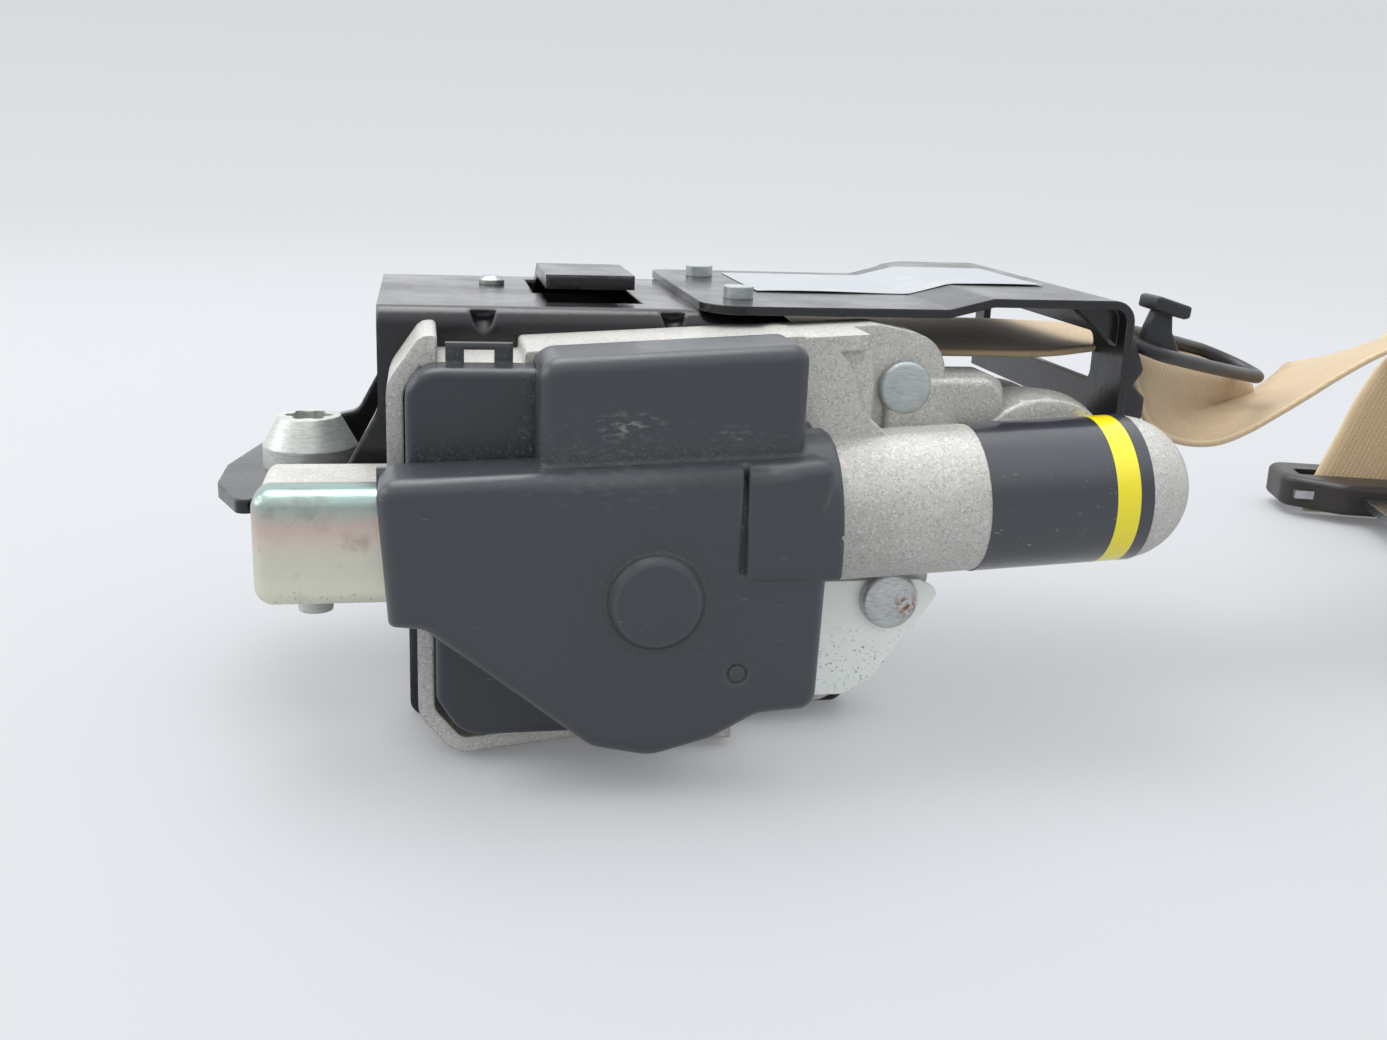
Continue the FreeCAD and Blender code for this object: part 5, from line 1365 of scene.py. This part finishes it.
@dataclass
class BeltGuide:
    """The strap guide: a thin oval ring with a T-shaped finger, clipped on the bracket's leg.

    Attributes:
        shop: The workshop.
        centre: Middle of the ring, in millimetres.
        along: Direction of its length.
        across: Direction of its width.
        size: Length and width from rim to rim.
        bar: Half the width of the ring's bar.
        deep: Half its depth.
        square: How soon the long sides turn into the round ends.
        nose: How much deeper the free end is.
    """

    shop: Workshop
    centre: Triple = (167.2, -9.6, 28.4)
    along: Triple = (0.832, 0.522, -0.185)
    across: Triple = (-0.475, 0.837, 0.27)
    size: tuple[float, float] = (51.0, 19.0)
    bar: float = 1.5
    deep: float = 1.3
    square: float = 2.2
    nose: float = 0.9

    def build(self) -> None:
        """Makes the ring, the finger and the clip as one moulding."""
        ring = self.build_ring()
        merge(ring, self.build_finger(), Join.ADD)
        hook = plate([(143.4, 33.6), (147.6, 33.6), (150.4, 27.4), (148.6, 24.6), (151.2, 22.4),
                      (151.2, 18.4), (148.4, 16.8), (143.4, 16.8)], Axis.Y, -26.6, -20.6, rounding=0.6)
        merge(ring, hook, Join.ADD)
        shade(ring, 35)
        self.shop.keep(ring, "belt_guide_moulding", GUIDE, "black_plastic", replaces=("belt_guide",))

    def build_ring(self) -> Piece:
        """Makes the oval ring, thin on top and with a deeper nose at its free end.

        Returns:
            The ring.
        """
        bpy.ops.object.select_all(action="DESELECT")
        thin = 0.2
        bpy.ops.mesh.primitive_torus_add(major_segments=72, minor_segments=16, major_radius=1.0,
                                         minor_radius=thin)
        ring = bpy.context.object
        along, across = Vector(self.along).normalized(), Vector(self.across).normalized()
        up = along.cross(across).normalized()
        half, side = self.size[0] / 2, self.size[1] / 2
        for vertex in ring.data.vertices:
            out = Vector((vertex.co.x, vertex.co.y, 0))
            turn = out.normalized()
            off = (out.length - 1.0) / thin
            rise = vertex.co.z / thin
            straight = (half - side) * math.copysign(min(1.0, abs(turn.x) * self.square), turn.x)
            x = turn.x * (side - self.bar) + straight + turn.x * off * self.bar
            y = turn.y * (side - self.bar) + turn.y * off * self.bar
            tip = max(0.0, turn.x) ** 3
            depth = self.deep * (1 + self.nose * tip * (rise < 0))
            vertex.co = (Vector(self.centre) + along * x + across * y + up * rise * depth) * MM
        face_outwards(ring)
        return ring

    def build_finger(self) -> Piece:
        """Makes the T-shaped finger: a tapered neck with a bar on top.

        Returns:
            The finger.
        """
        neck = plate([(150.6, 30.0), (151.8, 35.0), (153.0, 38.2), (156.6, 37.4), (157.0, 34.0),
                      (159.6, 29.0)], Axis.Y, -23.2, -20.8, rounding=0.5)
        bar = plate([(151.6, 38.4), (151.9, 40.6), (153.0, 40.7), (159.3, 38.9), (159.1, 36.8),
                     (158.0, 36.6)], Axis.Y, -25.0, -18.6, rounding=0.45)
        merge(neck, bar, Join.ADD)
        return neck


@dataclass
class TubeWrap:
    """Printed film round the pretensioner tube, with a plain stripe where the tube ends.

    Attributes:
        shop: The workshop.
        tilt_deg: How far the tube rises towards its end.
        pivot_mm: Point of the spool's axis that the tube is tilted about.
        over_pivot: Height of the tube's middle over that point.
        radius: Radius of the film, just over the tube's.
        start: Where it starts along the tube.
        end: Where it ends.
        arc_deg: How far round it goes.
        turned_deg: How far its middle is turned up from the front.
        corner: Radius of its corners.
        thick: Its thickness.
    """

    shop: Workshop
    tilt_deg: float = 3.1
    pivot_mm: Triple = (54.6, -42.8, -1.8)
    over_pivot: float = 6.9 * MM
    radius: float = 12.62 * MM
    start: float = 111.5 * MM
    end: float = 139.8 * MM
    arc_deg: float = 250.0
    turned_deg: float = 8.0
    corner: float = 2.5 * MM
    thick: float = 0.06 * MM

    def build(self) -> None:
        """Makes the film as a part of a cylinder with rounded corners and a thin wall."""
        bpy.ops.object.select_all(action="DESELECT")
        bpy.ops.mesh.primitive_grid_add(x_subdivisions=16, y_subdivisions=72, size=1)
        piece = bpy.context.object
        mesh = piece.data
        layer = mesh.uv_layers.new(name="Film")
        for loop in mesh.loops:
            at = mesh.vertices[loop.vertex_index].co
            layer.data[loop.index].uv = (at.x + 0.5, at.y + 0.5)
        pivot = Vector(self.pivot_mm) * MM
        length = self.end - self.start
        arc = math.radians(self.arc_deg)
        turn = Matrix.Rotation(-math.radians(self.tilt_deg), 4, "Y")
        for vertex in mesh.vertices:
            along, share = vertex.co.x + 0.5, vertex.co.y
            reach = abs(share) * arc * self.radius
            past = max(0.0, reach - (arc / 2 * self.radius - self.corner)) / self.corner
            inset = self.corner * (1 - math.sqrt(max(0.0, 1 - min(past, 1.0) ** 2)))
            x = min(max(along * length, inset), length - inset) + self.start
            angle = share * arc + math.radians(self.turned_deg)
            radial = Vector((0, -math.cos(angle), math.sin(angle))) * self.radius
            vertex.co = pivot + turn @ (Vector((x - pivot.x, 0, self.over_pivot)) + radial)
        face_outwards(piece)
        thickened(piece, self.thick, 0)
        shade(piece, 40)
        self.shop.keep(piece, "tube_wrap", FILM, "black_plastic")


@dataclass
class BracketLabel:
    """Blank white label stuck on the bracket.

    Attributes:
        shop: The workshop.
        low: Its corner nearest the camera's left.
        high: Its far right corner.
        over_edge_z: Its height where it stands out past the bracket.
        gap: The glue's thickness.
        thick: The paper's thickness.
        wave: How far its near edge has come off.
    """

    shop: Workshop
    low: tuple[float, float] = (81.0 * MM, -9.0 * MM)
    high: tuple[float, float] = (137.0 * MM, 24.0 * MM)
    over_edge_z: float = 37.0 * MM
    gap: float = 0.05 * MM
    thick: float = 0.08 * MM
    wave: float = 0.25 * MM

    def build(self) -> None:
        """Lays the label over the bracket's top, a little wavy at its near edge."""
        bpy.ops.object.select_all(action="DESELECT")
        bpy.ops.mesh.primitive_grid_add(x_subdivisions=40, y_subdivisions=24, size=1)
        piece = bpy.context.object
        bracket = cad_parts["belt_bracket"].evaluated_get(bpy.context.evaluated_depsgraph_get())
        width, depth = self.high[0] - self.low[0], self.high[1] - self.low[1]
        above, down = 100 * MM, Vector((0, 0, -1))
        ripples, slant, held = 9, 2, 3
        for vertex in piece.data.vertices:
            u, v = vertex.co.x + 0.5, vertex.co.y + 0.5
            x = self.low[0] + u * width
            y = self.low[1] + v * depth
            hit, place, _, _ = bracket.ray_cast(Vector((x, y, above)), down)
            top = place.z if hit else self.over_edge_z
            ripple = 0.5 + 0.5 * math.sin(ripples * u + slant * v)
            wave = self.wave * ripple * max(0.0, 1 - held * v)
            vertex.co = Vector((x, y, top + self.gap + wave))
        thickened(piece, self.thick, 1)
        shade(piece, 40)
        self.shop.keep(piece, "bracket_label", PAPER, "pale_plastic")


@dataclass
class Lamp:
    """A soft square lamp.

    Attributes:
        name: Its name.
        place: Where it hangs.
        aim: The point that it faces.
        size: Its side.
        power: Its power in watts.
    """

    name: str
    place: Triple
    aim: Triple
    size: float
    power: float

    def build(self) -> None:
        """Hangs the lamp."""
        data = bpy.data.lights.new(self.name, "AREA")
        data.shape = "SQUARE"
        data.size = self.size
        data.energy = self.power
        lamp = bpy.data.objects.new(self.name, data)
        lamp.location = self.place
        lamp.rotation_euler = (Vector(self.aim) - Vector(self.place)).to_track_quat("-Z", "Y").to_euler()
        bpy.context.scene.collection.objects.link(lamp)


@dataclass
class Studio:
    """Table, soft lamps, pale room and camera.

    Attributes:
        shop: The workshop.
        table_z: Height of the table.
        room: Brightness of the room in front.
        roof: Brightness of its ceiling.
        panel: Brightness of its pale wall behind the part.
        panel_foot: Steepness of a view where that wall starts and where it is full.
        panel_top: Steepness where it ends and where it is still full.
        panel_back: How far to the back it starts and is full.
        roof_at: Steepness where the ceiling starts and where it is full.
        horizon: Steepness between which the wall that the camera sees changes colour.
        light: Colour of the room's light.
        wall_low: Colour of the wall that the camera sees, at the table.
        wall_high: Its colour further up.
        camera_at: Where the camera stands.
        right: The picture's direction to the right.
        down: Its direction down.
        ahead: The direction that the camera looks in.
        focal_px: Focal length in pixels of the photograph.
        frame_px: Width of the photograph in pixels.
    """

    shop: Workshop
    table_z: float = -35.0 * MM
    room: float = 0.8
    roof: float = 1.68
    panel: float = 1.2
    panel_foot: tuple[float, float] = (-0.02, 0.05)
    panel_top: tuple[float, float] = (0.8, 0.35)
    panel_back: tuple[float, float] = (-0.2, 0.5)
    roof_at: tuple[float, float] = (0.3, 0.75)
    horizon: tuple[float, float] = (-0.12, 0.08)
    light: str = "#f3f5f8"
    wall_low: str = "#e4e7ea"
    wall_high: str = "#d7dadd"
    camera_at: Triple = (20.98 * MM, -261.10 * MM, 66.48 * MM)
    right: Triple = (0.9823, -0.1833, 0.0387)
    down: Triple = (-0.0125, -0.2701, -0.9628)
    ahead: Triple = (0.1869, 0.9452, -0.2676)
    focal_px: float = 1400.0
    frame_px: float = 1387.0

    def build_table(self) -> None:
        """Makes the table top."""
        bpy.ops.object.select_all(action="DESELECT")
        bpy.ops.mesh.primitive_plane_add(size=4, location=(0, 0, self.table_z))
        table = bpy.context.object
        settle(table)
        table.name = "table"
        table.data.materials.append(self.shop.material(TABLE))

    def build_light(self) -> None:
        """Adds the lamps and the pale room, and shows the camera a plain wall."""
        Lamp("overhead", (-0.1, 0.3, 1.1), (0.1, 0.0, 0.0), 0.8, 9.5).build()
        Lamp("left window", (-0.9, 0.1, 0.5), (0.05, -0.03, 0.0), 0.5, 3.2).build()
        world = bpy.context.scene.world or bpy.data.worlds.new("studio")
        bpy.context.scene.world = world
        world.use_nodes = True
        tree = world.node_tree
        way = add_node(tree, "TexCoord").outputs["Generated"]
        look = add_node(tree, "SeparateXYZ", {0: way})
        lit = tree.nodes["Background"]
        lit.inputs["Color"].default_value = linear(self.light)
        tree.links.new(self.brightness(tree, look.outputs[1], look.outputs[2]), lit.inputs["Strength"])
        rise = add_node(tree, "MapRange", {"Value": look.outputs[2], 1: self.horizon[0], 2: self.horizon[1],
                                           3: 0, 4: 1})
        wall = add_node(tree, "Mix", {0: rise.outputs["Result"], 6: linear(self.wall_low),
                                      7: linear(self.wall_high)}, data_type="RGBA").outputs[2]
        seen = add_node(tree, "Background", {"Color": wall})
        eye = add_node(tree, "LightPath").outputs["Is Camera Ray"]
        both = add_node(tree, "MixShader", {0: eye, 1: lit.outputs[0], 2: seen.outputs[0]})
        tree.links.new(both.outputs[0], tree.nodes["World Output"].inputs["Surface"])
        bpy.context.scene.view_settings.view_transform = "Standard"

    def brightness(self, tree: Tree, back: Socket, up: Socket) -> Socket:
        """How bright the room is in each direction: plain in front, more above, most low behind the part.

        Args:
            tree: The world's node tree.
            back: How far the direction points to the back.
            up: How far it points up.

        Returns:
            The brightness.
        """
        low, high, behind = (add_node(tree, "MapRange", {"Value": way, 1: start, 2: full, 3: 0, 4: 1})
                             .outputs["Result"] for way, (start, full) in
                             ((up, self.panel_foot), (up, self.panel_top), (back, self.panel_back)))
        band = add_node(tree, "Math", {0: low, 1: high}, operation="MULTIPLY").outputs[0]
        panel = add_node(tree, "Math", {0: band, 1: behind}, operation="MULTIPLY").outputs[0]
        roof = add_node(tree, "MapRange", {"Value": up, 1: self.roof_at[0], 2: self.roof_at[1],
                                           3: self.room, 4: self.roof}).outputs["Result"]
        return add_node(tree, "MapRange", {"Value": panel, 1: 0, 2: 1, 3: roof,
                                           4: self.panel}).outputs["Result"]

    def build_camera(self) -> None:
        """Puts the camera where the photograph was taken from."""
        data = bpy.data.cameras.new("camera")
        data.sensor_width = 36.0
        data.lens = data.sensor_width * self.focal_px / self.frame_px
        data.clip_start = 0.01
        data.clip_end = 20.0
        camera = bpy.data.objects.new("camera", data)
        columns = [Vector(self.right), -Vector(self.down), -Vector(self.ahead)]
        camera.matrix_world = Matrix.Translation(self.camera_at) @ Matrix(columns).transposed().to_4x4()
        bpy.context.scene.collection.objects.link(camera)
        bpy.context.scene.camera = camera


def main() -> None:
    """Builds every sub-assembly in order."""
    logging.basicConfig(level=logging.INFO, format="%(message)s")
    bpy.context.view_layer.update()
    shop = Workshop()
    for finish, nodes in NODE_FINISH.items():
        for node in nodes:
            shop.dress_node(node, finish)
    studio = Studio(shop)
    studio.build_camera()
    studio.build_table()
    studio.build_light()
    belt = Webbing(shop)
    belt.build_coil()
    belt.build_run()
    FrontCover(shop).build()
    HousingCasting(shop).build()
    Rivet(shop, "upper_rivet", (101.0, 25.8), 4.6, -35.9, 2.0, CLEAN_RIVET).build()
    Rivet(shop, "lower_rivet", (100.6, -11.6), 5.1, -37.3, 2.4, RIVET).build()
    BeltGuide(shop).build()
    TubeWrap(shop).build()
    BracketLabel(shop).build()


if __name__ == "__main__":
    main()
